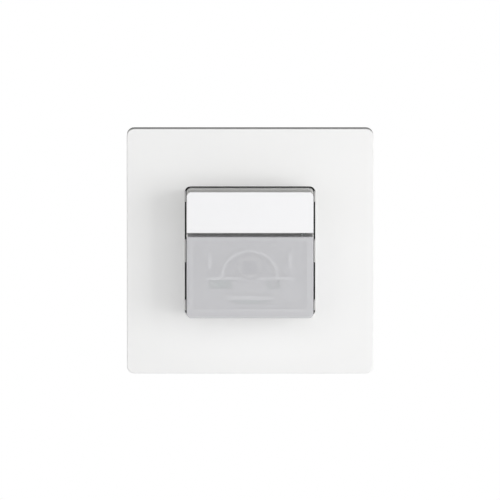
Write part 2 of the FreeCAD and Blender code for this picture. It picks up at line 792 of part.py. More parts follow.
def make_plug():
    strip = piece("plug_strip")
    pad(strip, "strip", "strip_back", "board_back", draw_box,
        ("-strip_half", "strip_half", "-strip_half_width", "strip_half_width"))
    pins = piece("plug_pins", several=True)
    socket = piece("insert_socket")
    pad(socket, "strip", "power_front", "socket_front", draw_box,
        ("-strip_half", "strip_half", "-strip_half_width", "strip_half_width"))
    for row in SIDES:
        word = "low" if row < 0 else "high"
        for column in range(int(SIZES["pin_columns"])):
            place = (pin_x(column), f"{row} * pin_pitch / 2")
            name = f"{word}_{column + 1}"
            cut(strip, f"hole_{name}", "strip_back", "board_back", draw_circle, *place, "pin_radius")
            pad(pins, f"pin_{name}", "-pin_tip", "board_front + pin_tail", draw_circle, *place, "pin_radius")
            cut(socket, f"hole_{name}", "power_front", "socket_front", draw_circle, *place,
                "pin_radius + socket_clearance")
    return strip, pins, socket


def make_pyro_sensor():
    can = piece("pyro_can")
    profile = (("0", "can_back"), ("flange_radius", "can_back"),
               ("flange_radius", "can_back + flange_thickness"),
               ("can_radius", "can_back + flange_thickness"),
               ("can_radius", "can_front"), ("0", "can_front"))
    turned(can, "shell", profile)
    can.Placement = FreeCAD.Placement(Vector(0, 0, 0), FreeCAD.Rotation(Vector(1, 0, 0), 90))
    bind(can, "Placement.Base.z", "sensor_z")
    doc.recompute()
    cut(can, "window_seat", "can_front - window_thickness", "can_front", draw_box,
        around("0", "0", "window_width", "window_height"), plane="XY_Plane")
    window = piece("pyro_window")
    pad(window, "filter", "can_front - window_thickness", "can_front", draw_box,
        around("0", "sensor_z", "window_width - 2 * running_gap", "window_height - 2 * running_gap"))
    leads = piece("pyro_leads", several=True)
    for count in range(LEADS):
        x, z = lead_place(count)
        pad(leads, f"lead_{count + 1}", "board_back - lead_tail", "can_back", draw_circle, x, z,
            "lead_radius")
    return can, window, leads


def make_sensor_holder():
    body = piece("sensor_holder")
    frame = ("-holder_half", "holder_half", "holder_bottom", "holder_top")
    pad(body, "frame", "holder_back", "holder_front", draw_box, frame, "board_corner")
    arch = sketch_on(body, "arch_outline", "holder_front - seam")
    for radius in ("arch_radius", "arch_radius - arch_wall"):
        draw_circle(arch, "0", "arch_z", radius)
    hoop = body.newObject("PartDesign::Pad", "arch")
    hoop.Profile = arch
    bind(hoop, "Length", "arch_height + seam")
    cut(body, "arch_foot", "holder_front", "holder_front + arch_height", draw_box,
        ("-arch_radius - arch_wall", "arch_radius + arch_wall", "arch_z - arch_radius - arch_wall",
         "shelf_z"))
    pad(body, "shelf", "holder_front - seam", "holder_front + shelf_height", draw_box,
        ("-holder_half + fin_wall", "holder_half - fin_wall", "shelf_z - shelf_wall", "shelf_z"))
    for side in SIDES:
        hand = "left" if side < 0 else "right"
        x = f"{side} * fin_x"
        pad(body, f"fin_{hand}", "holder_front - seam", "holder_front + arch_height", draw_box,
            (f"{x} - fin_wall / 2", f"{x} + fin_wall / 2", "fin_bottom", "fin_top"))
        for level in ("holder_top - holder_foot", "holder_bottom + holder_foot"):
            word = "high" if "top" in level else "low"
            pad(body, f"foot_{hand}_{word}", "board_front", "holder_back + seam", draw_circle,
                f"{side} * (holder_half - holder_foot)", level, "holder_foot")
    cut(body, "sensor_room", "holder_back", "holder_front + shelf_height", draw_circle, "0", "sensor_z",
        "flange_radius + sensor_clearance")
    wide = ("-holder_half + cutout_margin", "-holder_half + cutout_margin + wide_cutout")
    narrow = ("narrow_place - narrow_cutout / 2", "narrow_place + narrow_cutout / 2")
    for name, (left, right) in (("left", wide), ("right", narrow)):
        cut(body, f"cutout_{name}", "holder_back", "holder_front", draw_box,
            (left, right, "cutout_bottom", "cutout_top"))
    pad(body, "reflector", "holder_front - seam", "holder_front + reflector_height", draw_box,
        ("-reflector_half", "reflector_half", "reflector_bottom", "reflector_top"))
    trough = (("-trough_half", "holder_bottom"), ("trough_half", "holder_bottom"),
              ("reflector_half", "reflector_bottom"), ("-reflector_half", "reflector_bottom"))
    cut(body, "trough", "holder_back", "holder_front", draw_polygon, trough)
    return body


def make_switch():
    body = piece("button_switch")
    bounds = around("0", "switch_z", "switch_side", "switch_side")
    pad(body, "case", "board_front", "switch_front", draw_box, bounds)
    cut(body, "well", "switch_front - plunger_inside - plunger_inside", "switch_front", draw_circle, "0",
        "switch_z", "plunger_radius + running_gap")
    plunger = piece("switch_plunger")
    pad(plunger, "stem", "switch_front - plunger_inside", "plunger_front", draw_circle, "0", "switch_z",
        "plunger_radius")
    return body, plunger


def make_trimmer(name, side):
    x = f"{side} * trimmer_x"
    body = piece(f"{name}_trimmer")
    pad(body, "case", "board_front", "trimmer_front", draw_box,
        around(x, "trimmer_z", "trimmer_side", "trimmer_side"))
    cut(body, "bearing", "trimmer_front - dial_shaft_length - seam", "trimmer_front", draw_circle, x,
        "trimmer_z", "dial_shaft + running_gap")
    dial = piece(f"{name}_dial")
    pad(dial, "shaft", "trimmer_front - dial_shaft_length", "trimmer_front + seam + running_gap",
        draw_circle, x, "trimmer_z", "dial_shaft")
    pad(dial, "disc", "trimmer_front + seam", "trimmer_front + seam + dial_height", draw_circle, x,
        "trimmer_z", "dial_radius")
    for width, height in (("2 * dial_radius - dial_slot", "dial_slot"), ("dial_slot", "2 * dial_shaft")):
        word = "across" if height == "dial_slot" else "upright"
        cut(dial, f"drive_{word}", "trimmer_front + dial_height / 2", "trimmer_front + seam + dial_height",
            draw_box, around(x, "trimmer_z", width, height))
    return body, dial


def make_small_board_parts():
    guide = piece("light_guide")
    pad(guide, "rod", "guide_back", "guide_front", draw_box,
        around("guide_x", "guide_z", "guide_width", "guide_thickness"))
    led = piece("status_led")
    pad(led, "case", "board_front", "board_front + led_height", draw_box,
        around("guide_x", "guide_z", "led_length", "led_width"))
    photocell = piece("light_sensor")
    pad(photocell, "case", "board_front", "board_front + photocell_height", draw_box,
        around("narrow_place", "photocell_z", "photocell_side", "photocell_side"))
    controller = piece("microcontroller")
    pad(controller, "case", "board_back - controller_height", "board_back", draw_box,
        around("controller_x", "controller_z", "controller_side", "controller_side"))
    return guide, led, photocell, controller


# Power insert

def make_insert_cover():
    body = piece("insert_cover")
    pad(body, "plate", "cover_rear", "-cover_back", draw_box, square("inner_half - cover_fit"),
        "inner_corner")
    opening = around("0", "0", "2 * (strip_half + plug_clearance)", "2 * (strip_half_width + plug_clearance)")
    cut(body, "socket_opening", "cover_rear", "-cover_back", draw_box, opening)
    for side in SIDES:
        hand = "left" if side < 0 else "right"
        cut(body, f"leg_slot_{hand}", "cover_rear", "-cover_back", draw_box,
            around(f"{side} * (leg_x + leg_catch / 2)", "0", "leg_thickness + leg_catch + 2 * leg_clearance",
                   "leg_width + 2 * leg_clearance"))
        for level in SIDES:
            height = "low" if level < 0 else "high"
            cut(body, f"boss_room_{hand}_{height}", "cover_rear", "-cover_back", draw_circle,
                f"{side} * screw_place", f"{level} * screw_place", "boss_radius + cover_fit")
    return body


def make_rear_housing():
    body = piece("rear_housing")
    tub = pad(body, "tub", "rear_end", "0", draw_box, square("rear_half"), "rear_corner")
    rounded(body, "rear_rounding", tub, "rear_edge", at_height("rear_end"))
    pad(body, "flange", "-rear_flange", "0", draw_box, square("flange_half"), "flange_corner")
    cut(body, "hollow", "rear_inside", "0", draw_box, square("inner_half"), "inner_corner")
    for side in SIDES:
        hand = "left" if side < 0 else "right"
        for level in SIDES:
            height = "low" if level < 0 else "high"
            place = (f"{side} * screw_place", f"{level} * screw_place")
            pad(body, f"boss_{hand}_{height}", "power_front", "0", draw_circle, *place, "boss_radius")
            cut(body, f"pilot_{hand}_{height}", "power_front", "0", draw_circle, *place,
                "screw_radius + running_gap")
            ledge = around(f"{side} * (inner_half - ledge_width / 2)", f"{level} * ledge_place",
                           "ledge_width + 2 * seam", "ledge_length")
            pad(body, f"ledge_{hand}_{height}", "power_front", "cover_rear", draw_box, ledge)
    bounds = ("-block_half - block_fit", "block_half + block_fit", "block_bottom - block_fit",
              "block_top + block_fit")
    cut(body, "terminal_opening", "rear_end", "block_front + block_fit", draw_box, bounds)
    return body


def make_housing_screws():
    body = piece("housing_screws", several=True)
    turn = FreeCAD.Rotation(Vector(1, 0, 0), 90)
    for side in SIDES:
        hand = "left" if side < 0 else "right"
        for level in SIDES:
            height = "low" if level < 0 else "high"
            place = (f"{side} * screw_place", f"{level} * screw_place")
            name = f"{hand}_{height}"
            pad(body, f"shank_{name}", "-screw_length", "mounting_thickness", draw_circle, *place,
                "screw_radius")
            head = body.newObject("PartDesign::AdditiveCone", f"head_{name}")
            head.Placement = FreeCAD.Placement(Vector(0, 0, 0), turn)
            bind(head, "Radius1", "screw_radius")
            bind(head, "Radius2", "screw_head - running_gap")
            bind(head, "Height", "screw_head - screw_radius")
            bind(head, "Placement.Base.x", place[0])
            bind(head, "Placement.Base.y", "-(mounting_thickness - screw_head + screw_radius)")
            bind(head, "Placement.Base.z", place[1])
            for width, depth in (("2 * screw_radius", "drive_width"), ("drive_width", "2 * screw_radius")):
                word = "across" if depth == "drive_width" else "upright"
                cut(body, f"drive_{word}_{name}", "mounting_thickness - drive_depth", "mounting_thickness",
                    draw_box, around(*place, width, depth))
    return body


def make_power_board():
    body = piece("power_board")
    pad(body, "laminate", "power_back", "power_front", draw_box, square("inner_half - board_gap"),
        "inner_corner")
    for count in range(POLES):
        cut(body, f"strip_slot_{count + 1}", "power_back", "power_front", draw_box,
            around(pole_x(count), "strip_bottom + strip_thickness / 2", "strip_width + 2 * seam",
                   "strip_thickness + 2 * seam"))
    return body


def standing_box(label, length, width, height, x, z, edge=None):
    """A boxed component that stands on the back of the power board."""
    body = piece(label)
    case = pad(body, "case", f"power_back - {height}", "power_back", draw_box, around(x, z, length, width))
    if edge:
        far = at_height(f"power_back - {height}")
        rounded(body, "edges", case, edge, far)
    return body


def make_storage_capacitor():
    body = piece("storage_capacitor")
    can = pad(body, "can", "power_back - storage_height", "power_back", draw_circle, "storage_x", "storage_z",
              "storage_radius")
    rounded(body, "rolled_edge", can, "case_edge", at_height("power_back - storage_height"))
    return body


def make_varistor():
    body = piece("varistor")
    centre = "power_back - varistor_radius - board_thickness"
    disc = pad(body, "disc", "varistor_z - varistor_thickness / 2", "varistor_z + varistor_thickness / 2",
               draw_circle, "varistor_x", f"-({centre})", "varistor_radius", plane="XY_Plane")
    rounded(body, "dipped_edge", disc, "dip_edge", lambda point: True)
    for side in SIDES:
        pad(body, f"lead_{'left' if side < 0 else 'right'}", centre, "power_back", draw_circle,
            f"varistor_x + {side} * wire_spread", "varistor_z", "wire_radius")
    return body


def make_fuse_resistor():
    body = piece("fuse_resistor")
    height = "power_back - resistor_rise"
    low = "resistor_x - resistor_length / 2"
    high = "resistor_x + resistor_length / 2"
    barrel = pad(body, "barrel", low, high, draw_circle, f"-({height})", "resistor_z", "resistor_radius",
                 plane="YZ_Plane")
    rounded(body, "barrel_ends", barrel, "barrel_edge", lambda point: True)
    path = sketch_on(body, "wire_path", "resistor_z", "XY_Plane")
    draw_staple(path, f"{low} - lead_reach", f"{high} + lead_reach", "-(power_back)", f"-({height})",
                "wire_bend")
    section = sketch_on(body, "wire_section", "power_back")
    draw_circle(section, f"{low} - lead_reach", "resistor_z", "wire_radius")
    wire = body.newObject("PartDesign::AdditivePipe", "wire")
    wire.Profile = section
    wire.Spine = path
    return body


# Terminals

POLES = 4


def pole_x(count):
    """The place of a terminal across the block."""
    return f"({count} - {(POLES - 1) / 2}) * pole_pitch"


def make_terminal_block():
    body = piece("terminal_block")
    pad(body, "block", "rear_end", "block_front", draw_box,
        ("-block_half", "block_half", "block_bottom", "block_top"))
    for count in range(POLES):
        x = pole_x(count)
        left = f"{x} - cell_width / 2"
        right = f"{x} + cell_width / 2"
        cut(body, f"cell_{count + 1}", "cell_end", "cell_mouth", draw_box,
            (left, right, "cell_bottom", "cell_top"))
        cut(body, f"strip_way_{count + 1}", "cell_mouth", "block_front", draw_box,
            around(x, "strip_bottom + strip_thickness / 2", "strip_width + 2 * seam",
                   "strip_thickness + 2 * seam"))
        cut(body, f"wire_entry_{count + 1}", "rear_end", "cell_end", draw_circle, x, "entry_z",
            "entry_radius")
        centre = "-(cell_mouth - cell_depth / 2)"
        cut(body, f"head_well_{count + 1}", "block_bottom", "ledge_bottom", draw_circle, x, centre,
            "clamp_head + head_play", plane="XY_Plane")
        cut(body, f"shank_hole_{count + 1}", "ledge_bottom", "cell_bottom", draw_circle, x, centre,
            "clamp_screw + head_play", plane="XY_Plane")
    return body


def make_terminal_strips():
    body = piece("terminal_strips", several=True)
    for count in range(POLES):
        x = pole_x(count)
        pad(body, f"strip_{count + 1}", "cell_end + cage_wall", "power_front + board_gap", draw_box,
            (f"{x} - strip_width / 2", f"{x} + strip_width / 2", "strip_bottom", "strip_top"))
    return body


def make_clamp(count):
    x = pole_x(count)
    half = "cage_width / 2"
    inner = "(cage_width / 2 - cage_wall)"
    cage = piece(f"clamp_cage_{count + 1}")
    pad(cage, "box", "cell_end + cage_slack", "cell_mouth - cage_slack", draw_box,
        (f"{x} - {half}", f"{x} + {half}", "cage_bottom", "cage_top"))
    cut(cage, "passage", "cell_end", "cell_mouth", draw_box,
        (f"{x} - {inner}", f"{x} + {inner}", "nut_top", "cage_ceiling"))
    centre = "-(cell_mouth - cell_depth / 2)"
    cut(cage, "thread", "cage_bottom", "nut_top", draw_circle, x, centre, "clamp_screw + running_gap",
        plane="XY_Plane")
    screw = piece(f"terminal_screw_{count + 1}")
    head_top = "ledge_bottom - head_play"
    pad(screw, "head", f"{head_top} - clamp_head_height", head_top, draw_circle, x, centre, "clamp_head",
        plane="XY_Plane")
    pad(screw, "shank", head_top, "strip_bottom - head_play", draw_circle, x, centre, "clamp_screw",
        plane="XY_Plane")
    low = f"{head_top} - clamp_head_height"
    for width, height in (("2 * clamp_screw", "strip_thickness"), ("strip_thickness", "2 * clamp_screw")):
        word = "across" if height == "strip_thickness" else "upright"
        cut(screw, f"drive_{word}", low, f"{low} + clamp_head_height / 2", draw_box,
            around(x, centre, width, height), plane="XY_Plane")
    return cage, screw


def write_pieces():
    """Check every object, then write each body to its own file."""
    doc.recompute()
    for thing in doc.Objects:
        if {"Invalid", "Error"} & set(thing.State):
            raise RuntimeError(f"{thing.Label} failed: {thing.State}")
    bodies = [thing for thing in doc.Objects if thing.TypeId == "PartDesign::Body"]
    for body in bodies:
        if body.Shape.isNull() or not body.Shape.isValid():
            raise RuntimeError(f"{body.Label} has no valid shape")
    os.makedirs("parts", exist_ok=True)
    for body in bodies:
        body.Shape.exportStep(f"parts/{body.Label}.step")
        box = body.Shape.BoundBox
        print(f"{body.Label}: {len(body.Shape.Solids)} solids, {body.Shape.Volume:.1f} mm3, "
              f"x {box.XMin:.2f} to {box.XMax:.2f}, y {box.YMin:.2f} to {box.YMax:.2f}, "
              f"z {box.ZMin:.2f} to {box.ZMax:.2f}")


make_cover_plate()
make_mounting_plate()
make_front_housing()
make_sensor_base()
make_lens()
make_button()
make_sensor_board()
make_plug()
make_pyro_sensor()
make_sensor_holder()
make_switch()
make_trimmer("lux", -1)
make_trimmer("time", 1)
make_small_board_parts()
make_insert_cover()
make_rear_housing()
make_housing_screws()
make_power_board()
standing_box("relay", "relay_length", "relay_width", "relay_height", "relay_x", "relay_z", "case_edge")
standing_box("film_capacitor", "film_width", "film_length", "film_height", "film_x", "film_z", "case_edge")
standing_box("bridge_rectifier", "bridge_length", "bridge_width", "bridge_height", "bridge_x", "bridge_z")
make_storage_capacitor()
make_varistor()
make_fuse_resistor()
make_terminal_block()
make_terminal_strips()
for pole in range(POLES):
    make_clamp(pole)
write_pieces()
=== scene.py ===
# %% [markdown]
# # A presence detector, dressed in Blender
#
# The real object is a wall switch that works by itself. A square cover plate lies on the wall. A sensor
# head stands forward through its opening, with a push button above and a milky lens below, and behind
# the plate a power insert sits in the wall box. The measured solids are already there as a frame, so this
# lesson only gives each piece its true edges, small details and finish.

# %% Load the measured frame
import json
import math
import bmesh
import bpy
from functools import partialmethod
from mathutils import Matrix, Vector

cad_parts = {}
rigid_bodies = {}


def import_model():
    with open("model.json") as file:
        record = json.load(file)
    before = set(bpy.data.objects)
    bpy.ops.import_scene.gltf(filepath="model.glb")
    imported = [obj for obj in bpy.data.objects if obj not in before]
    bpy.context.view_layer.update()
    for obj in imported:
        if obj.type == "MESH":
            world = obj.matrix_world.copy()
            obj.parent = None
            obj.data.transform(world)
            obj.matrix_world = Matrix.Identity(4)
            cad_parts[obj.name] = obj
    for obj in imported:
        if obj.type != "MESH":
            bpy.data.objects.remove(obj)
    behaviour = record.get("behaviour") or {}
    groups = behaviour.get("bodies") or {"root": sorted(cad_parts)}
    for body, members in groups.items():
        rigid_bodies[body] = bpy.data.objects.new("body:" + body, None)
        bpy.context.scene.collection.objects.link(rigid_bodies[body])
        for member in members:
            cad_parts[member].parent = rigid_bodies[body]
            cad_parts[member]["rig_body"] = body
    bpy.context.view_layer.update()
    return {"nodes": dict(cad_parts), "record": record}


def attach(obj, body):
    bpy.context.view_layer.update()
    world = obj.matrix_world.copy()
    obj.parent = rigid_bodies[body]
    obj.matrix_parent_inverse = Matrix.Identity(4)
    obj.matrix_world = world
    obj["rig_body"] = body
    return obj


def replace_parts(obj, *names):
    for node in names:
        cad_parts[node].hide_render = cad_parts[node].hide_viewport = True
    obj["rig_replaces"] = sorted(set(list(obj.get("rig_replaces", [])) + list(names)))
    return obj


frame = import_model()
print("nodes in the frame:", len(frame["nodes"]))

# %% [markdown]
# ## The camera
#
# A product like this is photographed from far away with a long lens, so that its edges stay parallel.
# An orthographic camera would do, but a perspective one with a very long lens looks the same and still has
# a real distance. It looks down on the plate by about six degrees.

# %% Point the camera
MM = 0.001
VIEW_WIDTH = 178.7
LENS = 800.0
SENSOR = 36.0
LOOK_DOWN = math.radians(6.2)
PLATE_FRONT = -5.6
AIM_HEIGHT = 0.47


def spot(x, y, z):
    """A place or a step, given in millimetres."""
    return Vector((x, y, z)) * MM


def adjust(thing, **settings):
    """Set several properties of anything at once."""
    for name, value in settings.items():
        setattr(thing, name, value)


def aim(thing, direction):
    """Point a camera or a lamp along a direction."""
    adjust(thing, rotation_mode="QUATERNION", rotation_quaternion=direction.to_track_quat("-Z", "Y"))


towards = Vector((0, -math.cos(LOOK_DOWN), math.sin(LOOK_DOWN)))
distance = VIEW_WIDTH * MM * LENS / SENSOR
bpy.ops.object.camera_add(location=spot(0, PLATE_FRONT, AIM_HEIGHT) + towards * distance)
camera = bpy.context.object
aim(camera, -towards)
adjust(camera.data, lens=LENS, sensor_width=SENSOR, clip_end=20.0)
bpy.context.scene.camera = camera
bpy.context.scene.view_settings.view_transform = "Standard"
print("camera distance in metres:", round(distance, 3))

# %% [markdown]
# ## Shader graphs as Python
#
# Wiring nodes one by one hides the idea behind a finish. A small class wraps an output socket so that
# Python's own operators add the Math nodes, and one method adds any other node. An expression such as
# `0.3 + noise * 0.1` then reads like the surface it describes. All operators are the same join with
# another operation filled in, which is what `partialmethod` does.

# %% Wrap a socket and a graph


class Wire:
    """An output socket that can be used in a Python expression."""

    def __init__(self, graph, output):
        self.graph = graph
        self.output = output

    def join(self, operation, other, flipped=False):
        """A Math node, or a Vector Math node for a vector, on this socket and another value."""
        vector = self.output.type == "VECTOR"
        if vector and isinstance(other, (int, float)):
            other = (other, other, other)
        first, second = (other, self) if flipped else (self, other)
        kind = "ShaderNodeVectorMath" if vector else "ShaderNodeMath"
        return self.graph.node(kind, {0: first, 1: second}, operation=operation)

    __add__ = __radd__ = partialmethod(join, "ADD")
    __mul__ = __rmul__ = partialmethod(join, "MULTIPLY")
    __sub__ = partialmethod(join, "SUBTRACT")
    __rsub__ = partialmethod(join, "SUBTRACT", flipped=True)
    __lt__ = partialmethod(join, "LESS_THAN")
    __gt__ = partialmethod(join, "GREATER_THAN")


class Graph:
    """The nodes of one material or of the world."""

    def __init__(self, owner, emptied=False):
        owner.use_nodes = True
        self.tree = owner.node_tree
        if emptied:
            self.tree.nodes.clear()

    def node(self, kind, values=None, output=0, **settings):
        """Add a node: its settings first, then the values or wires of its sockets."""
        made = self.tree.nodes.new(kind)
        adjust(made, **settings)
        for name, value in (values or {}).items():
            self.feed(self.find(made.inputs, name), value)
        return Wire(self, self.find(made.outputs, output)) if made.outputs else made

    def find(self, sockets, name):
        """A socket by its number, its identifier or its name."""
        named = (socket for socket in sockets if name in (socket.identifier, socket.name))
        return sockets[name] if isinstance(name, int) else next(named)

    def feed(self, socket, value):
        """Link a wire, or set a plain value."""
        if isinstance(value, Wire):
            self.tree.links.new(value.output, socket)
        else:
            socket.default_value = value

    def blend(self, mask, low, high):
        """A colour between two, by a mask."""
        low, high = (colour if isinstance(colour, Wire) else (*colour, 1.0) for colour in (low, high))
        sockets = {"Factor_Float": mask, "A_Color": low, "B_Color": high}
        return self.node("ShaderNodeMix", sockets, "Result_Color", data_type="RGBA")

    def direct_rays(self):
        """One for rays from the camera and those that a gloss or a clear surface sends on, else zero."""
        path = self.node("ShaderNodeLightPath").output.node
        camera_ray, glossy_ray, clear_ray = (
            Wire(self, path.outputs[f"Is {kind} Ray"]) for kind in ("Camera", "Glossy", "Transmission"))
        return camera_ray.join("MAXIMUM", glossy_ray).join("MAXIMUM", clear_ray)


print("shader helpers ready")

# %% [markdown]
# ## Background and light
#
# The object floats on pure white. The camera, and rays that a gloss or a clear surface sends on, see a
# white world of strength one, while the light that the world gives is much weaker, so that the hollows
# stay dark. A large soft lamp stands in front. Of the two smaller ones at the sides the right one is the
# stronger, which makes the left side of the plate a little greyer. The one behind lights only the back.

# %% Light the object
AMBIENT = 0.12
WHITE = (1, 1, 1, 1)
world = bpy.data.worlds.new("studio_white")
bpy.context.scene.world = world
sky = Graph(world, emptied=True)
strength = AMBIENT + sky.direct_rays() * (1 - AMBIENT)
backdrop = sky.node("ShaderNodeBackground", {"Color": WHITE, "Strength": strength})
sky.node("ShaderNodeOutputWorld", {"Surface": backdrop})

for name, place, side, power in (
        ("front_lamp", (0.0, -0.8, 0.02), 1.5, 7.1),
        ("left_lamp", (-0.67, -0.44, 0.0), 0.5, 0.8),
        ("right_lamp", (0.67, -0.44, 0.0), 0.5, 2.95),
        ("back_lamp", (-0.25, 0.75, -0.15), 0.5, 4.0)):
    bpy.ops.object.light_add(type="AREA", location=place)
    lamp = bpy.context.object
    adjust(lamp, name=name, visible_camera=False, visible_glossy=place[1] < 0)
    adjust(lamp.data, size=side, energy=power)
    aim(lamp, -Vector(place))
    print(name, "of", power, "watts")

# %% [markdown]
# The floor is a pale disc well below the object, nearly white to the camera, that still takes a little of
# its shadow. It is kept small, because a far floor would turn grey behind the object.

# %% Lay the floor
FLOOR_DROP = -0.26
FLOOR_GLOW = 0.85
bpy.ops.object.select_all(action="DESELECT")
bpy.ops.mesh.primitive_circle_add(vertices=64, radius=0.75, fill_type="NGON", location=(0, 0, FLOOR_DROP))
floor = bpy.context.object
floor.name = "studio_floor"
bpy.ops.object.transform_apply()
floor_paint = bpy.data.materials.new("floor_white")
ground = Graph(floor_paint, emptied=True)
cloud = ground.node("ShaderNodeTexNoise", {"Scale": 6.0})
matt = ground.node("ShaderNodeBsdfDiffuse", {"Color": ground.blend(cloud, (0.84,) * 3, (0.88,) * 3)})
glow = ground.node("ShaderNodeEmission", {"Color": WHITE, "Strength": 1.0})
mixed = ground.node("ShaderNodeMixShader", {0: ground.direct_rays() * FLOOR_GLOW, 1: matt, 2: glow})
ground.node("ShaderNodeOutputMaterial", {"Surface": mixed})
floor.data.materials.append(floor_paint)
print("floor at", FLOOR_DROP)

# %% [markdown]
# ## Finishes
#
# A finish starts from the plain colour and then gets what the real surface has: a moulding has a fine
# grain from its mould and very slight clouds in its colour, a metal has lines from rolling or turning.
# All patterns read Object coordinates in metres, so a grain of 0.3 mm stays 0.3 mm on every piece.

# %% Start a finish
finishes = {}


class Finish(Graph):
    """One material, with its patterns and its Principled shader, kept under its name."""

    def __init__(self, name, metallic=0.0, coat=0.0):
        self.material = bpy.data.materials.new(name)
        super().__init__(self.material)
        self.shader = next(node for node in self.tree.nodes if node.type == "BSDF_PRINCIPLED")
        self.place = self.node("ShaderNodeTexCoord", output="Object")
        self.put({"Metallic": metallic, "Coat Weight": coat})
        finishes[name] = self

    def put(self, values):
        """Set or wire the shader's sockets."""
        for name, value in values.items():
            self.feed(self.shader.inputs[name], value)

    def noise(self, size, detail=2.0, stretch=(1.0, 1.0, 1.0), shift=0.0):
        """Cloudy noise whose cells are about this many millimetres wide."""
        where = self.place * tuple(1.0 / part for part in stretch) + shift
        return self.node("ShaderNodeTexNoise", {"Vector": where, "Scale": 1 / (size * MM), "Detail": detail})

    def raised(self, height, depth):
        """Bump from a height between 0 and 1 and a depth in millimetres."""
        bump = {"Height": height, "Distance": depth * MM, "Strength": 1.0}
        self.put({"Normal": self.node("ShaderNodeBump", bump)})

    def axes(self):
        """The three Object coordinates, in metres."""
        split = self.node("ShaderNodeSeparateXYZ", {"Vector": self.place})
        return [Wire(self, out) for out in split.output.node.outputs]


def shade(colour, factor):
    """A lighter or darker colour."""
    return tuple(min(1.0, part * factor) for part in colour)


def moulded(name, colour, roughness, grain, depth, clouds=0.015, shine=0.5):
    """Injection moulded plastic: a mould grain, slight clouds and a sheen that varies a little."""
    finish = Finish(name)
    cloud = finish.noise(11.0, 3.0)
    fine = finish.noise(grain, 2.0, shift=3.7)
    finish.put({"Base Color": finish.blend(cloud, shade(colour, 1 - clouds), shade(colour, 1 + clouds)),
                "Roughness": roughness + (fine - 0.5) * 0.08 + (cloud - 0.5) * 0.06,
                "Specular IOR Level": shine})
    finish.raised(fine, depth)
    return finish


def metal(name, colour, roughness, stretch, streak):
    """Rolled, drawn or turned metal: long streaks along one direction over a faint cloud."""
    finish = Finish(name, metallic=1.0)
    lines = finish.noise(streak, 2.0, stretch)
    tone = lines * 0.6 + finish.noise(6.0, 2.0, shift=1.3) * 0.4
    finish.put({"Base Color": finish.blend(tone, shade(colour, 0.88), shade(colour, 1.08)),
                "Roughness": roughness + (lines - 0.5) * 0.22})
    finish.raised(lines, 0.004)


print("finish helpers ready")

# %% [markdown]
# ### Plastics
#
# Parts that nobody sees come from plain moulds with a sandy surface, and the dark insert is a filled
# thermoset. Each row gives a name, a colour, a roughness, the size and depth of the grain in millimetres,
# and how much the colour clouds.

# %% Mix the plastics
for row in (
        ("housing_white", (0.88, 0.88, 0.87), 0.45, 0.12, 0.004),
        ("insert_grey", (0.12, 0.12, 0.13), 0.42, 0.10, 0.006, 0.08),
        ("cover_grey", (0.30, 0.31, 0.32), 0.48, 0.12, 0.005, 0.03),
        ("black_plastic", (0.03, 0.03, 0.03), 0.40, 0.10, 0.004, 0.10),
        ("package_black", (0.04, 0.04, 0.045), 0.55, 0.05, 0.004, 0.10),
        ("plunger_black", (0.06, 0.06, 0.06), 0.30, 0.20, 0.002, 0.06),
        ("trimmer_blue", (0.05, 0.16, 0.50), 0.38, 0.12, 0.003, 0.04),
        ("dial_white", (0.86, 0.85, 0.80), 0.42, 0.15, 0.003, 0.02),
        ("relay_black", (0.05, 0.05, 0.055), 0.50, 0.10, 0.006, 0.10),
        ("film_yellow", (0.75, 0.60, 0.18), 0.36, 0.30, 0.003, 0.04),
        ("varistor_blue", (0.05, 0.20, 0.55), 0.25, 0.90, 0.020, 0.08),
        ("terminal_grey", (0.55, 0.56, 0.57), 0.45, 0.12, 0.004, 0.03),
        ("led_white", (0.90, 0.88, 0.72), 0.30, 0.30, 0.001, 0.05)):
    moulded(*row)
print("plastics:", len(finishes))

# %% [markdown]
# Three mouldings get painted shade that deepens with depth. The side walls of the cover and the button are
# painted darker than their faces, as a painted shade for the dim light such walls get. The cover and the
# button get no sheen, because a wall seen along its length would mirror the white surroundings. The sensor's
# shroud is painted greyer at its foot than on its rims, as a painted shade of its recess. Depth is the Y of
# the object's own coordinates, so the painted shade stays where it is on the piece.

# %% Paint shade that deepens with depth
def graded(name, colour, front, back, painted_shade_colour, roughness, grain, depth, shine=0.5, reach=0.0):
    """A moulding with painted shade: its colour turns to a darker one between two depths, beyond a reach from
    its middle.
    """
    finish = moulded(name, colour, roughness, grain, depth, shine=shine)
    wide, deep, high = finish.axes()
    depths = {"Value": deep, "From Min": front * MM, "From Max": back * MM}
    limit = (reach * MM) ** 2
    outer = (wide * wide > limit) + (high * high > limit)
    # the share of painted shade: none at the front depth, all of it at the back depth
    painted_shade_share = finish.node("ShaderNodeMapRange", depths) * outer
    cloud = finish.noise(11.0, 3.0) * 0.02
    finish.put({"Base Color": finish.blend(painted_shade_share + cloud - 0.01, colour, painted_shade_colour)})


# Each row's second colour is the painted shade that the walls, and the shroud's foot, turn to.
for row in (
        ("plate_white", (0.935, 0.935, 0.93), -5.35, -2.4, (0.46, 0.46, 0.45), 0.40, 1.6, 0.0015, 0.0, 42.4),
        ("button_white", (0.95, 0.95, 0.96), -18.3, -18.0, (0.68, 0.68, 0.66), 0.38, 1.6, 0.0015, 0.0),
        ("holder_white", (0.92, 0.92, 0.92), -11.8, -8.5, (0.56, 0.56, 0.56), 0.50, 0.12, 0.004)):
    graded(*row)
print("finishes so far:", len(finishes))

# %% [markdown]
# ### Metals
#
# Zinc plate on the mounting plate shows long rolling lines. The can, the leads, the pins and the strips
# were drawn or stamped, and the clamp cages and screws are plated after they are cut. Each row ends with
# the direction of the streaks and their width in millimetres.

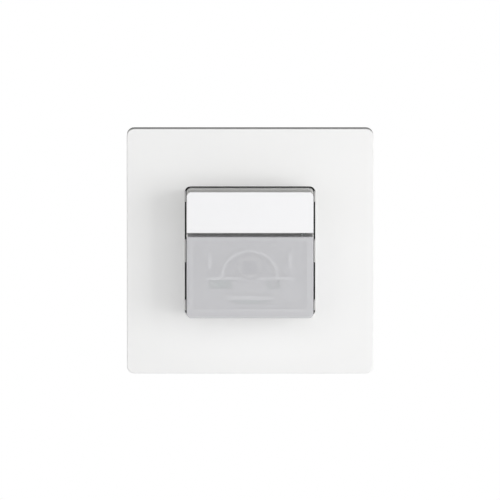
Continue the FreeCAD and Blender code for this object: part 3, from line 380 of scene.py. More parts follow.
# %% Mix the metals
ALONG_X = (12.0, 1.0, 1.0)
ALONG_Y = (1.0, 12.0, 1.0)
ALONG_Z = (1.0, 1.0, 12.0)
for row in (
        ("zinc_steel", (0.72, 0.73, 0.74), 0.36, ALONG_X, 0.5),
        ("sensor_nickel", (0.34, 0.335, 0.32), 0.45, ALONG_Y, 0.3),
        ("lead_tin", (0.75, 0.75, 0.76), 0.30, ALONG_Y, 0.2),
        ("pin_brass", (0.80, 0.62, 0.28), 0.22, ALONG_Y, 0.2),
        ("copper_strip", (0.80, 0.55, 0.35), 0.30, ALONG_Y, 0.3),
        ("clamp_steel", (0.70, 0.70, 0.68), 0.34, ALONG_Z, 0.3),
        ("screw_steel", (0.68, 0.68, 0.66), 0.30, ALONG_X, 0.15)):
    metal(*row)
print("finishes so far:", len(finishes))

# %% [markdown]
# ### The milky lens
#
# The lens is polyethylene one millimetre thick. Warmth passes and so does some light, so that the sensor
# and its white shroud show through very faintly. True scattering would lose them, so the surface is a
# grey-white plastic that lets a small share of light straight through, a little more where the milk is
# thinner. The inner side, with its lens segments, is much clearer, or the two layers would hide it all.

# %% Mix the lens, the window and the clear parts
def milky(name, colour, clear_share):
    """A plastic that lets this share of the light through, with soft clouds in it."""
    finish = moulded(name, colour, 0.34, 2.2, 0.001, clouds=0.01)
    finish.put({"Alpha": 1 - (clear_share + (finish.noise(14.0, 2.0, shift=9.1) - 0.5) * 0.02)})


def clear_plastic(name, colour, roughness, clear_share):
    """A tinted clear plastic with its own faint flow lines."""
    finish = Finish(name, coat=0.3)
    flow = finish.noise(1.5, 2.0, ALONG_Y)
    finish.put({"Base Color": finish.blend(flow, shade(colour, 0.95), shade(colour, 1.05)),
                "Roughness": roughness + (flow - 0.5) * 0.05,
                "Alpha": 1 - (clear_share + (flow - 0.5) * 0.06)})


milky("lens_milky", (0.70, 0.70, 0.725), 0.32)
milky("lens_inside", (0.80, 0.80, 0.82), 0.93)
clear_plastic("guide_clear", (0.90, 0.94, 0.95), 0.10, 0.50)
clear_plastic("photocell_clear", (0.25, 0.24, 0.22), 0.08, 0.10)
window = Finish("filter_dark", coat=0.5)
sheen = window.noise(1.2, 2.0)
window.put({"Base Color": window.blend(sheen, (0.020, 0.020, 0.030), (0.035, 0.030, 0.055)),
            "Roughness": 0.10 + sheen * 0.05, "Metallic": 0.35 + sheen * 0.1})
print("finishes so far:", len(finishes))

# %% [markdown]
# ### Circuit boards, sleeve and resistor
#
# A board is green lacquer over copper tracks. The tracks lie a little higher and look lighter, and tinned
# rings mark the holes. Two stretched noises cut at a level give runs along and across the board, and a
# third one chooses between them.

# %% Print the circuit boards
HOLE_PITCH = 3.2
board = Finish("board_green", coat=0.2)
across = board.noise(1.1, 0.0, (9.0, 1.0, 1.0)) > 0.55
upright = board.noise(1.1, 0.0, (1.0, 1.0, 9.0), shift=5.0) > 0.55
choice = board.noise(9.0, 0.0, shift=2.0) > 0.5
track = across * choice + upright * (1 - choice)
holes = {"Vector": board.place, "Scale": 1 / (HOLE_PITCH * MM), "Randomness": 0.8}
cells = board.node("ShaderNodeTexVoronoi", holes)
tinned = (cells < 0.13) * (cells > 0.06)
green = board.blend(track, (0.03, 0.20, 0.10), (0.06, 0.32, 0.15))
board.put({"Base Color": board.blend(tinned, green, (0.72, 0.72, 0.70)),
           "Metallic": tinned * 0.9,
           "Roughness": 0.34 - track * 0.06 + (board.noise(0.3) - 0.5) * 0.06})
board.raised(track * 0.6 + tinned * 0.4, 0.03)
print("tinned holes about every", HOLE_PITCH, "mm")

# %% [markdown]
# The storage capacitor's sleeve has a pale stripe down one side, and the resistor has four bands. Both are
# printed on, so they need no shape, only a test of where a point lies along X.

# %% Band the sleeve and the resistor
STRIPE_START = 7.5
BAND_HALF = 0.4
sleeve = Finish("sleeve_black", coat=0.25)
stripe = sleeve.axes()[0] > STRIPE_START * MM
wrap = sleeve.noise(0.8, 2.0, ALONG_Y)
sleeve.put({"Base Color": sleeve.blend(stripe, (0.035, 0.035, 0.045), (0.42, 0.44, 0.47)),
            "Roughness": 0.26 + (wrap - 0.5) * 0.1})
sleeve.raised(wrap, 0.004)

banded = Finish("resistor_green")
along = banded.axes()[0]
grain = banded.noise(0.35, 3.0)
tone = banded.blend(grain, (0.17, 0.31, 0.21), (0.24, 0.40, 0.29))
for place, colour in ((-10.6, (0.35, 0.10, 0.03)), (-9.0, (0.02, 0.02, 0.02)), (-7.4, (0.55, 0.05, 0.03)),
                      (-5.2, (0.55, 0.40, 0.10))):
    band = (along > (place - BAND_HALF) * MM) * (along < (place + BAND_HALF) * MM)
    tone = banded.blend(band, tone, colour)
banded.put({"Base Color": tone, "Roughness": 0.55 + (grain - 0.5) * 0.15})
banded.raised(grain, 0.02)
wanted = {material["slot"] for material in frame["record"]["materials"]}
print("finishes:", len(finishes), "missing:", sorted(wanted - set(finishes)))

# %% [markdown]
# ## Modelling helpers
#
# Nearly every part of this object is a moulding with rounded rectangles for outlines. Such a part can be
# carved from a cube, but then each corner radius follows from the one before. We draw every outline as a
# plane with its corners bevelled, keep only its edge loop, and bridge the loops one after another, so
# every radius is its own. First come the few steps that all edit mode work shares.

# %% Start, select and finish in edit mode
def clear():
    """Leave edit mode with nothing selected."""
    if bpy.context.mode != "OBJECT":
        bpy.ops.object.mode_set(mode="OBJECT")
    bpy.ops.object.select_all(action="DESELECT")


def take(piece):
    """Select one piece alone and make it active."""
    clear()
    piece.select_set(True)
    bpy.context.view_layer.objects.active = piece


def edit(piece, selected="DESELECT"):
    """Open a piece in edit mode, with nothing selected or with all of it."""
    take(piece)
    bpy.ops.object.mode_set(mode="EDIT")
    bpy.ops.mesh.select_mode(type="VERT")
    bpy.ops.mesh.select_all(action=selected)


def pick(piece, test, part="edges"):
    """In edit mode, select the vertices, edges or faces that pass a test."""
    bpy.ops.mesh.select_all(action="DESELECT")
    bpy.ops.mesh.select_mode(type=part[:-1].upper())
    mesh = bmesh.from_edit_mesh(piece.data)
    for item in getattr(mesh, part):
        if test(item):
            item.select_set(True)
    mesh.select_flush_mode()
    bmesh.update_edit_mesh(piece.data)


def reshaped(piece, test, operator, part="verts", **settings):
    """Let one edit mode operator work on those vertices or edges of a piece that pass a test."""
    edit(piece)
    pick(piece, test, part)
    operator(**settings)
    clear()
    return piece


def face_outwards():
    """In edit mode, point all normals outwards, and leave the mode."""
    bpy.ops.mesh.select_all(action="SELECT")
    bpy.ops.mesh.normals_make_consistent(inside=False)
    clear()


print("edit helpers ready")

# %% [markdown]
# An outline is described by its depth, its size, its corner radius and, if its edge is rounded, the size
# of that rounding. Turned parts have circles instead. The vertices of each drawn loop carry its number,
# by which its edges are found again.

# %% Describe and draw an outline
CORNER_STEPS = 7


def pair(value):
    """Two values, or one value for both."""
    return value if isinstance(value, tuple) else (value, value)


def line(depth, half, corner=0.05, eased=0.0):
    """A rounded rectangle at a depth: half its size (wide, high), and its corners (top, bottom)."""
    return {"depth": depth, "half": pair(half), "corner": pair(corner), "eased": eased}


def ring(depth, radius, eased=0.0):
    """A circle at a depth."""
    return {"depth": depth, "radius": radius, "eased": eased}


def numbers(piece):
    """The layer that holds the number of each vertex's outline."""
    return bmesh.from_edit_mesh(piece.data).verts.layers.int["outline"]


def draw(piece, shape, number, middle, sides):
    """Add one outline as a bare edge loop, and number its vertices."""
    centre = spot(middle[0], shape["depth"], middle[1])
    facing = {"location": centre, "rotation": (math.pi / 2, 0, 0)}
    bpy.ops.mesh.select_all(action="DESELECT")
    if "radius" in shape:
        bpy.ops.mesh.primitive_circle_add(vertices=sides, radius=shape["radius"] * MM, **facing)
    else:
        bpy.ops.mesh.primitive_plane_add(size=2 * MM, **facing)
        wide, high = shape["half"]
        bpy.ops.transform.resize(value=(wide, 1, high), center_override=centre)
        for side, radius in zip((1, -1), shape["corner"]):
            if radius:
                fresh = numbers(piece)
                pick(piece, lambda v: v[fresh] == 0 and (v.co.z - centre.z) * side > 0, "verts")
                bpy.ops.mesh.bevel(offset=radius * MM, segments=CORNER_STEPS, affect="VERTICES")
        fresh = numbers(piece)
        pick(piece, lambda face: all(v[fresh] == 0 for v in face.verts), "faces")
        bpy.ops.mesh.delete(type="ONLY_FACE")
    layer = numbers(piece)
    for vertex in bmesh.from_edit_mesh(piece.data).verts:
        vertex[layer] = vertex[layer] or number


print("corner steps:", CORNER_STEPS)

# %% [markdown]
# Now the loops are bridged in pairs. Two loops at one depth would be bridged crosswise, so one of them
# steps aside until its bridge is made. Then the ends are capped, unless the last loop was bridged to the
# first, and the marked edges are rounded.

# %% Bridge the outlines
STEP_ASIDE = 5.0 * MM


def outlines(piece, *wanted):
    """Select the edges that run along the numbered outlines."""
    layer = numbers(piece)

    def along(edge):
        first, second = (vertex[layer] for vertex in edge.verts)
        return first == second and first in wanted

    pick(piece, along)


def lofted(shapes, middle=(0.0, 0.0), sides=40, closed=False):
    """Bridge outlines in order, cap the ends or join them, and round the marked edges."""
    clear()
    bpy.ops.mesh.primitive_plane_add(size=MM, location=(0, 0, 0))
    piece = bpy.context.object
    edit(piece, "SELECT")
    bpy.ops.mesh.delete(type="VERT")
    bmesh.from_edit_mesh(piece.data).verts.layers.int.new("outline")
    for number, shape in enumerate(shapes, 1):
        draw(piece, shape, number, middle, sides)
    last = len(shapes)
    for first in range(1, last + closed):
        second = first % last + 1
        level = abs(shapes[first - 1]["depth"] - shapes[second - 1]["depth"]) < 0.001
        if level:
            outlines(piece, second)
            bpy.ops.transform.translate(value=(0, STEP_ASIDE, 0))
        outlines(piece, first, second)
        bpy.ops.mesh.bridge_edge_loops()
        if level:
            outlines(piece, second)
            bpy.ops.transform.translate(value=(0, -STEP_ASIDE, 0))
    if not closed:
        for number in (1, last):
            outlines(piece, number)
            bpy.ops.mesh.edge_face_add()
    for number, shape in enumerate(shapes, 1):
        if shape["eased"]:
            outlines(piece, number)
            bpy.ops.mesh.bevel(offset=shape["eased"] * MM, segments=4, affect="EDGES")
    face_outwards()
    return piece


print("loft helper ready")

# %% [markdown]
# A straight rib or lug is a bar between two opposite corners, whichever way round they are given. What
# repeats, such as screws, solder joints and chips, is modelled once and copied. Every copy has its own
# mesh, and each object stays at the origin with its place in its mesh. A turned part is drawn along Y,
# like all our outlines, and then swung round to its own direction.

# %% Make, move, turn, copy and cut
def bar(start, end, eased=0.12):
    """A small straight rib or lug between two opposite corners, with eased edges."""
    clear()
    low = Vector([*map(min, start, end)])
    high = Vector([*map(max, start, end)])
    bpy.ops.mesh.primitive_cube_add(size=1, location=(low + high) / 2 * MM)
    piece = bpy.context.object
    piece.scale = (high - low) * MM
    bpy.ops.object.transform_apply()
    edit(piece, "SELECT")
    bpy.ops.mesh.bevel(offset=eased * MM, segments=2, affect="EDGES")
    clear()
    return piece


def moved(piece, step):
    """Move a part by a step in millimetres, inside its mesh."""
    take(piece)
    bpy.ops.transform.translate(value=spot(*step))
    bpy.ops.object.transform_apply()
    return piece


def turned(piece, degrees, axis, centre=(0, 0, 0)):
    """Turn a part inside its mesh, about a place in millimetres."""
    edit(piece, "SELECT")
    bpy.ops.transform.rotate(value=math.radians(degrees), orient_axis=axis, center_override=spot(*centre))
    clear()
    return piece


def repeated(piece, steps):
    """A part and its copies, one moved by each step in millimetres."""
    pieces = [piece]
    for step in steps:
        take(piece)
        bpy.ops.object.duplicate()
        pieces.append(moved(bpy.context.object, step))
    return pieces


def steps_between(places):
    """The steps from the first of some places (x, z) to each of the others."""
    (x, z), *others = places
    return [(other_x - x, 0, other_z - z) for other_x, other_z in others]


def applied(piece, kind, **settings):
    """Add a modifier with these settings and apply it."""
    take(piece)
    modifier = piece.modifiers.new(kind.lower(), kind)
    adjust(modifier, **settings)
    bpy.ops.object.modifier_apply(modifier=modifier.name)


def cut_out(piece, tool, **settings):
    """Take the shape of a tool out of a piece, and remove the tool."""
    applied(piece, "BOOLEAN", operation="DIFFERENCE", object=tool, solver="EXACT", **settings)
    take(tool)
    bpy.ops.object.delete()


def joined(parts):
    """Join parts into the first one."""
    take(parts[0])
    for part in parts[1:]:
        part.select_set(True)
    if len(parts) > 1:
        bpy.ops.object.join()
    return parts[0]


print("copy helpers ready")

# %% [markdown]
# Where the measured solid already has the whole shape, such as on the ribbed inner mouldings, a copy of it
# is enough. Its loose triangles are merged into faces, and a bevel gives it the small edge radius that
# every real moulding or stamping has. A weighted normal keeps the flat faces flat beside those edges.

# %% Soften a copy, and finish any piece
WELD = 0.000001


def softened(node, eased):
    """A copy of a measured piece with merged faces and eased edges."""
    mesh = frame["nodes"][node].data.copy()
    mesh.materials.clear()
    piece = bpy.data.objects.new("soft_copy", mesh)
    bpy.context.scene.collection.objects.link(piece)
    edit(piece, "SELECT")
    bpy.ops.mesh.customdata_custom_splitnormals_clear()
    bpy.ops.mesh.remove_doubles(threshold=WELD)
    bpy.ops.mesh.dissolve_limited(angle_limit=math.radians(0.5))
    applied(piece, "BEVEL", width=eased * MM, segments=2, limit_method="ANGLE",
            angle_limit=math.radians(40), use_clamp_overlap=False)
    return piece


def finished(name, parts, slot, node=None, flat=35):
    """Join, shade and paint the parts of a piece, and tie it to its body and the solid it stands for."""
    piece = joined(parts)
    piece.name = name
    bpy.ops.object.shade_smooth_by_angle(angle=math.radians(flat))
    applied(piece, "WEIGHTED_NORMAL", keep_sharp=True, weight=50)
    if not piece.data.materials:
        piece.data.materials.append(finishes[slot].material)
    body = frame["nodes"][node]["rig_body"] if node else "casing"
    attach(piece, body)
    if node:
        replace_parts(piece, node)
    print(f"{piece.name}: {len(piece.data.polygons)} faces on {body}")


print("finishing helpers ready")

# %% [markdown]
# ## Cover plate
#
# The cover is one thin shell: a flat face with a softly rounded rim, a deep collar round the opening, and
# a hollow back. We could hollow a block with a boolean, but the shell is the same rounded square at eight
# depths, so its section is bridged all the way round and closed on itself.

# %% Mould the cover shell
PLATE_HALF = 44.0
HOLLOW_HALF = PLATE_HALF - 2.0
OPENING_HALF = 23.3
COLLAR_HALF = 24.8
COLLAR_FOOT = -1.4
CEILING = -3.6

cover_parts = [lofted([
    line(0.0, PLATE_HALF, 2.6, 0.15),
    line(PLATE_FRONT, PLATE_HALF, 2.6, 0.4),
    line(PLATE_FRONT, OPENING_HALF, 2.0, 0.12),
    line(COLLAR_FOOT, OPENING_HALF, 2.0, 0.12),
    line(COLLAR_FOOT, COLLAR_HALF, 3.5, 0.12),
    line(CEILING, COLLAR_HALF, 3.5),
    line(CEILING, HOLLOW_HALF, 1.3),
    line(0.0, HOLLOW_HALF, 1.3, 0.15)], closed=True)]
print("cover shell:", len(cover_parts[0].data.polygons), "faces")

# %% [markdown]
# Low ribs on the collar's side walls centre the sensor head. The hollow has stiffening ribs towards the
# rim and round marks of the ejector pins.

# %% Add the ribs and ejector marks
RIM_RIB = (37.0, 42.3)
RIM_RIB_PLACES = (-33.0, -22.0, -11.0, 11.0, 22.0, 33.0)
MARK_PLACE = 38.6
for side in (-1, 1):
    for middle, height in ((-19.5, 3.8), (0.0, 8.2), (19.5, 3.8)):
        cover_parts.append(bar((side * (OPENING_HALF - 0.45), -4.4, middle - height / 2),
                               (side * (OPENING_HALF + 0.3), COLLAR_FOOT, middle + height / 2), 0.15))
    start, end = (side * reach for reach in RIM_RIB)
    for place in RIM_RIB_PLACES:
        cover_parts.append(bar((start, -3.8, place - 0.4), (end, -0.9, place + 0.4)))
        cover_parts.append(bar((place - 0.4, -3.8, start), (place + 0.4, -0.9, end)))
    for level in (-1, 1):
        cover_parts.append(lofted([ring(-3.7, 2.0), ring(-3.45, 1.9, 0.05)],
                                  (side * MARK_PLACE, level * MARK_PLACE), 28))
print("cover parts so far:", len(cover_parts))

# %% [markdown]
# Four snap hooks reach through the steel plate. A hook's nose is slanted, so that it slides in.

# %% Add the snap hooks
HOOK_HALF = 3.0
HOOK_TIP = 1.4
HOOK_PLACE = (20.0, 31.0)


def at_the_tip(vertex):
    """Is this vertex on the far edge of a hook's nose?"""
    return vertex.co.y > 0.9 * MM and abs(vertex.co.z) > (HOOK_PLACE[1] + 0.7) * MM


for x in (-HOOK_PLACE[0], HOOK_PLACE[0]):
    left, right = x - HOOK_HALF, x + HOOK_HALF
    for level in (-1, 1):
        z = level * HOOK_PLACE[1]
        nose = bar((left, 0.2, z + level * 0.4), (right, HOOK_TIP, z + level * 1.2), 0.1)
        reshaped(nose, at_the_tip, bpy.ops.transform.translate, value=(0, 0, -level * 0.45 * MM))
        cover_parts += [bar((left, -4.6, z - 0.7), (right, HOOK_TIP, z + 0.7), 0.1), nose]
finished("cover_moulding", cover_parts, "plate_white", "cover_plate")

# %% [markdown]
# A thin black strip lies at the foot of the gap between the cover and the head. It is a dark part put there
# as painted shade, so that the gap looks dark. It is the same kind of closed loft as the cover, only much
# smaller.

# %% Lay the dark strip that paints the gap's shade
# a black strip standing in as painted shade at the foot of the gap
dark_gap_strip = lofted([line(-2.3, 23.27, 1.95, 0.1), line(-2.3, 22.66, 1.7, 0.1), line(-1.22, 22.66, 1.7),
               line(-1.22, 23.27, 1.95)], closed=True)
finished("gap_shade_strip", [dark_gap_strip], "black_plastic")

# %% [markdown]
# ## Mounting plate
#
# The mounting plate is stamped from zinc plated sheet. Its copy keeps the slots, the hook windows and the
# countersunk holes, with edges rolled by the punch. Beads pressed into its front stiffen the sheet, two
# at each side of the opening. A bead along Z and its twin along X swap both their places and their sizes.

# %% Stamp the mounting plate
BEAD_REACH = 27.8
BEAD_PLACE = 9.0
steel_parts = [softened("mounting_plate", 0.12)]
for reach in (-BEAD_REACH, BEAD_REACH):
    for place in (-BEAD_PLACE, BEAD_PLACE):
        for turn in (1, -1):
            foot, top, middle = (size[::turn] for size in ((0.9, 3.0), (0.6, 2.7), (reach, place)))
            steel_parts.append(lofted([line(-1.1, foot, 0.9), line(-1.6, top, 0.6, 0.25)], middle))
finished("mounting_sheet", steel_parts, "zinc_steel", "mounting_plate")

# %% [markdown]
# ## Push button
#
# The button and the lens cap are both hollow caps of the sensor head. Their front edges are rounded,
# except along the slot between them, where the edge is nearly sharp.

# %% Mould a cap of the head
MODULE_HALF = 22.625
MODULE_FRONT = -18.5
MODULE_CORNER = 1.7


def head_cap(low, high, back, ceiling, wall, corners, eased, slot_side):
    """A cap between two heights. It comes with the middle of its outline and half its cavity's size."""
    middle = (0.0, (low + high) / 2)
    half = (MODULE_HALF, (high - low) / 2)
    cavity = (half[0] - wall, half[1] - wall)
    outer = (MODULE_CORNER, 0.0) if slot_side < 0 else (0.0, MODULE_CORNER)
    cap = lofted([line(MODULE_FRONT, half, outer), line(back, half, outer, eased),
                  line(back, cavity, corners, eased), line(ceiling, cavity, corners)], middle)
    slot = (low if slot_side < 0 else high) * MM
    for round_one, width, steps in ((True, 0.35, 4), (False, 0.08, 2)):
        def wanted_edge(edge):
            in_front = all(v.co.y < (MODULE_FRONT + 0.01) * MM for v in edge.verts)
            away = max((slot - v.co.z) * slot_side for v in edge.verts) > 0.01 * MM
            return in_front and away == round_one and edge.calc_face_angle(0) > 1.0

        reshaped(cap, wanted_edge, bpy.ops.mesh.bevel, "edges", offset=width * MM, segments=steps,
                 affect="EDGES")
    return cap, middle, cavity


print("the caps are", 2 * MODULE_HALF, "mm wide")

# %% [markdown]
# Behind its face the button has a lattice of thin ribs that keeps it flat, and a post that pushes the
# switch.

# %% Mould the button
BUTTON_LOW = 7.975
RIB_FOOT = -17.2
button_parts = [head_cap(BUTTON_LOW, MODULE_HALF, back=-8.7, ceiling=-17.0, wall=1.5, corners=0.5, eased=0.1,
                         slot_side=-1)[0]]
for x in (-14.0, -7.0, 7.0, 14.0):
    button_parts.append(bar((x - 0.4, RIB_FOOT, 9.3), (x + 0.4, -15.6, 21.3), 0.08))
button_parts.append(bar((-21.3, RIB_FOOT, 14.9), (21.3, -15.8, 15.7), 0.08))
button_parts.append(lofted([ring(RIB_FOOT, 1.5), ring(-15.8, 1.2), ring(-11.0, 1.2, 0.3)], (0, 13.0)))
print("button parts:", len(button_parts))

# %% [markdown]
# Two arms reach back from it, rounded at their ends, with the round stubs of its hinge.

# %% Add the arms and hinge stubs
PIVOT_DEPTH = -8.2
PIVOT_HEIGHT = 18.4
STUB_MIDDLE = 18.52
ARM = (16.925, 18.425)


def across_the_end(edge):
    """Is this an edge of an arm's end that runs along X?"""
    one, other = (v.co for v in edge.verts)
    return min(one.y, other.y) > -6.9 * MM and abs(one.x - other.x) > 0.8 * MM


for side in (-1, 1):
    arm = bar((side * ARM[0], -17.1, 16.6), (side * ARM[1], -6.4, 20.2), 0.25)
    reshaped(arm, across_the_end, bpy.ops.mesh.bevel, "edges", offset=1.2 * MM, segments=4, affect="EDGES")
    x = side * STUB_MIDDLE
    stub = lofted([ring(PIVOT_DEPTH - 1.6, 1.2, 0.15), ring(PIVOT_DEPTH + 1.6, 1.2, 0.15)], (x, PIVOT_HEIGHT))
    button_parts += [arm, turned(stub, 90, "Z", (x, PIVOT_DEPTH, PIVOT_HEIGHT))]
finished("button_cap", button_parts, "button_white", "button")

# %% [markdown]
# ## Lens cap
#
# The lens cap covers the lower part of the head, and from outside it is smooth. The faces of its cavity get
# a clearer finish than the outer ones, so one mesh has two materials.

# %% Mould the lens cap
LENS_HIGH = 6.5
LENS_CEILING = -17.5
lens_cap, lens_middle, cavity = head_cap(-MODULE_HALF, LENS_HIGH, back=-8.1, ceiling=LENS_CEILING, wall=1.2,
                                         corners=(0.3, 1.1), eased=0.08, slot_side=1)
for name in ("lens_milky", "lens_inside"):
    lens_cap.data.materials.append(finishes[name].material)
for face in lens_cap.data.polygons:
    x, y, z = face.center / MM
    walls = abs(x) < cavity[0] + 0.02 and abs(z - lens_middle[1]) < cavity[1] + 0.02
    face.material_index = int(walls and y > LENS_CEILING - 0.1)
print("lens cap:", len(lens_cap.data.polygons), "faces")

# %% [markdown]
# The inner face is divided into fields, and each field is a flat lens made of rings, like the lens of a
# lighthouse. We lower the points of a fine grid by a sawtooth of their distance from the middle of their
# field, thicken the grid to a punch, and press it into the inner face with a boolean.

# %% Press the lens rings
FIELDS_ACROSS = 5
FIELDS_UP = 3
RING_PITCH = 0.9
RING_DEPTH = 0.08
punch_half = (cavity[0] - 0.45, cavity[1] - 0.45)
clear()
bpy.ops.mesh.primitive_grid_add(x_subdivisions=150, y_subdivisions=94, size=2 * MM,
                                location=spot(0, LENS_CEILING - 0.1, lens_middle[1]),
                                rotation=(math.pi / 2, 0, 0))
punch = bpy.context.object
punch.scale = (*punch_half, 1)
bpy.ops.object.transform_apply()
field_width = 2 * punch_half[0] / FIELDS_ACROSS
field_height = 2 * punch_half[1] / FIELDS_UP
for vertex in punch.data.vertices:
    x = (vertex.co.x / MM + punch_half[0]) % field_width
    z = (vertex.co.z / MM - lens_middle[1] + punch_half[1]) % field_height
    away = math.hypot(x - field_width / 2, z - field_height / 2)
    vertex.co.y += RING_DEPTH * (away / RING_PITCH % 1.0) * MM
punch.data.materials.append(finishes["lens_inside"].material)
edit(punch, "SELECT")
bpy.ops.mesh.extrude_region_move(TRANSFORM_OT_translate={"value": (0, 0.4 * MM, 0)})
bpy.ops.transform.resize(value=(1, 0, 1), center_override=spot(0, LENS_CEILING + 0.3, lens_middle[1]))
face_outwards()
cut_out(lens_cap, punch, material_mode="TRANSFER")
finished("lens_cap", [lens_cap], "lens_milky", "lens", flat=20)

# %% [markdown]
# ## Inner mouldings and boards
#
# The frame of the head closes the ends of the slot with two thin cheeks, which slope towards the front so
# that the pressed button clears them.

# %% Close the slot's ends
SLOT_FLOOR = -8.15
cheeks = []
for side in (-1, 1):
    cheek = bar((side * 22.32, -18.2, LENS_HIGH + 0.06), (side * 22.6, SLOT_FLOOR, 7.9), 0.05)
    cheeks.append(reshaped(cheek, lambda v: v.co.y < -18.0 * MM and v.co.z > 7.7 * MM,
                           bpy.ops.transform.translate, value=(0, 0, -0.5 * MM)))
finished("slot_cheeks", cheeks, "housing_white")

# %% [markdown]
# The sensor's shroud has an arch, which is pressed a little flatter than a half circle, and a thin apron,
# which fills the room up to the frame and keeps light off the board.

# %% Flatten the arch and add the apron
ARCH_MIDDLE = -7.475
ARCH_RADIUS = 9.7
ARCH_RISE = 0.84
APRON_FRONT = -8.0
APRON_BACK = -7.6


def on_the_arch(vertex):
    """Does this vertex belong to the arch above its middle?"""
    x, y, z = vertex.co / MM
    off = abs(math.hypot(x, z - ARCH_MIDDLE) - ARCH_RADIUS)
    return y < -8.6 and z > ARCH_MIDDLE + 0.2 and off < 0.8


shroud_parts = [reshaped(softened("sensor_holder", 0.12), on_the_arch, bpy.ops.transform.resize,
                         value=(1, 1, ARCH_RISE), center_override=spot(0, -10, ARCH_MIDDLE))]
for left, right, low, high in ((-20.2, -16.8, -20.2, 4.1), (16.8, 20.2, -20.2, 4.1),
                               (-17.0, 17.0, -20.2, -18.8), (-17.0, 17.0, 3.2, 4.1)):
    shroud_parts.append(bar((left, APRON_FRONT, low), (right, APRON_BACK, high), 0.08))
finished("sensor_shroud", shroud_parts, "holder_white", "sensor_holder")

# %% [markdown]
# The other inner pieces have their whole shape in the measured solids. Soft copies of them take the place
# of the sharp ones, each with the edge radius of its own process: next to none on a board that is cut,
# more on a case that is moulded.

# %% Soften the inner pieces
for name, node, eased, slot in (
        ("head_frame", "front_housing", 0.10, "housing_white"),
        ("head_base", "sensor_base", 0.15, "housing_white"),
        ("head_board", "sensor_board", 0.04, "board_green"),
        ("head_plug_strip", "plug_strip", 0.08, "black_plastic"),
        ("insert_plug_socket", "insert_socket", 0.08, "black_plastic"),
        ("plug_pin_set", "plug_pins", 0.10, "pin_brass"),
        ("tact_switch_case", "button_switch", 0.12, "black_plastic"),
        ("tact_switch_stem", "switch_plunger", 0.15, "plunger_black"),
        ("lux_trimmer_case", "lux_trimmer", 0.15, "trimmer_blue"),
        ("time_trimmer_case", "time_trimmer", 0.15, "trimmer_blue"),
        ("lux_trimmer_dial", "lux_dial", 0.10, "dial_white"),
        ("time_trimmer_dial", "time_dial", 0.10, "dial_white"),
        ("window_filter", "pyro_window", 0.05, "filter_dark"),
        ("guide_rod", "light_guide", 0.12, "guide_clear"),
        ("indicator_diode", "status_led", 0.08, "led_white"),
        ("daylight_cell", "light_sensor", 0.12, "photocell_clear"),
        ("controller_package", "microcontroller", 0.10, "package_black"),
        ("insert_lid", "insert_cover", 0.15, "cover_grey"),
        ("insert_board", "power_board", 0.04, "board_green"),
        ("bridge_package", "bridge_rectifier", 0.20, "package_black"),
        ("contact_strips", "terminal_strips", 0.08, "copper_strip")):
    finished(name, [softened(node, eased)], slot, node)

# %% [markdown]
# ## Screws
#
# A screw shows two things that a plain cylinder lacks: a thread and a drive recess. The thread is a small
# tooth whose profile climbs round the axis, which is what the Screw modifier does. The recess is a cross
# of two tapered bars that a boolean takes out of the head.

# %% Cut a thread and a recess
THREAD_STEPS = 18


def threaded(root, crest, pitch, start, turns):
    """A thread along Y from a depth in millimetres: one tooth, turned and lifted."""
    clear()
    bpy.ops.mesh.primitive_plane_add(size=MM, location=(0, 0, 0))
    thread = bpy.context.object
    edit(thread, "SELECT")
    bpy.ops.mesh.merge(type="CENTER")
    bpy.ops.transform.translate(value=spot(root, start, 0))
    tooth = ((root, 0.0), (crest, 0.38), (crest, 0.52), (root, 0.90), (root, 1.0))
    for before, after in zip(tooth, tooth[1:]):
        step = spot(after[0] - before[0], (after[1] - before[1]) * pitch, 0)
        bpy.ops.mesh.extrude_vertices_move(TRANSFORM_OT_translate={"value": step})
    applied(thread, "SCREW", axis="Y", angle=math.tau, screw_offset=pitch * MM, iterations=turns,
            steps=THREAD_STEPS, render_steps=THREAD_STEPS)
    edit(thread, "SELECT")
    bpy.ops.mesh.remove_doubles(threshold=WELD)
    bpy.ops.mesh.select_all(action="SELECT")
    bpy.ops.mesh.fill_holes(sides=0)
    face_outwards()
    return thread


def recessed(head, width, reach, depth):
    """Take a cross recess out of the face of a head that lies at y = 0."""
    for across, upright in ((reach, width / 2), (width / 2, reach)):
        tool = bar((-across, -0.5, -upright), (across, depth, upright), 0.02)
        reshaped(tool, lambda v: v.co.y > (depth - 0.1) * MM,
                 bpy.ops.transform.resize, value=(0.75, 1, 0.75), center_override=(0, 0, 0))
        cut_out(head, tool)
    return head


print("screw helpers ready")

# %% [markdown]
# Four countersunk screws hold the insert together, one at each corner. They never move, so they stay one
# piece.

# %% Make the four housing screws
SCREW_REACH = 19.0
screw_places = [(x, z) for z in (-SCREW_REACH, SCREW_REACH) for x in (-SCREW_REACH, SCREW_REACH)]
sunk_head = lofted([ring(0.0, 2.1, 0.05), ring(0.12, 2.1), ring(1.05, 1.2), ring(1.3, 1.15)])
sunk_screw = joined([
    recessed(sunk_head, 0.55, 1.15, 0.6),
    threaded(0.9, 1.18, 0.6, 1.0, 6),
    lofted([ring(5.0, 0.9), ring(5.35, 0.9), ring(5.7, 0.45, 0.1)])])
moved(sunk_screw, (-SCREW_REACH, -1.2, -SCREW_REACH))
finished("insert_screws", repeated(sunk_screw, steps_between(screw_places)), "screw_steel", "housing_screws")

# %% [markdown]
# The terminal screws have flat heads and lie along Z, one at each pole. Each turns by itself, so each is a
# piece of its own.

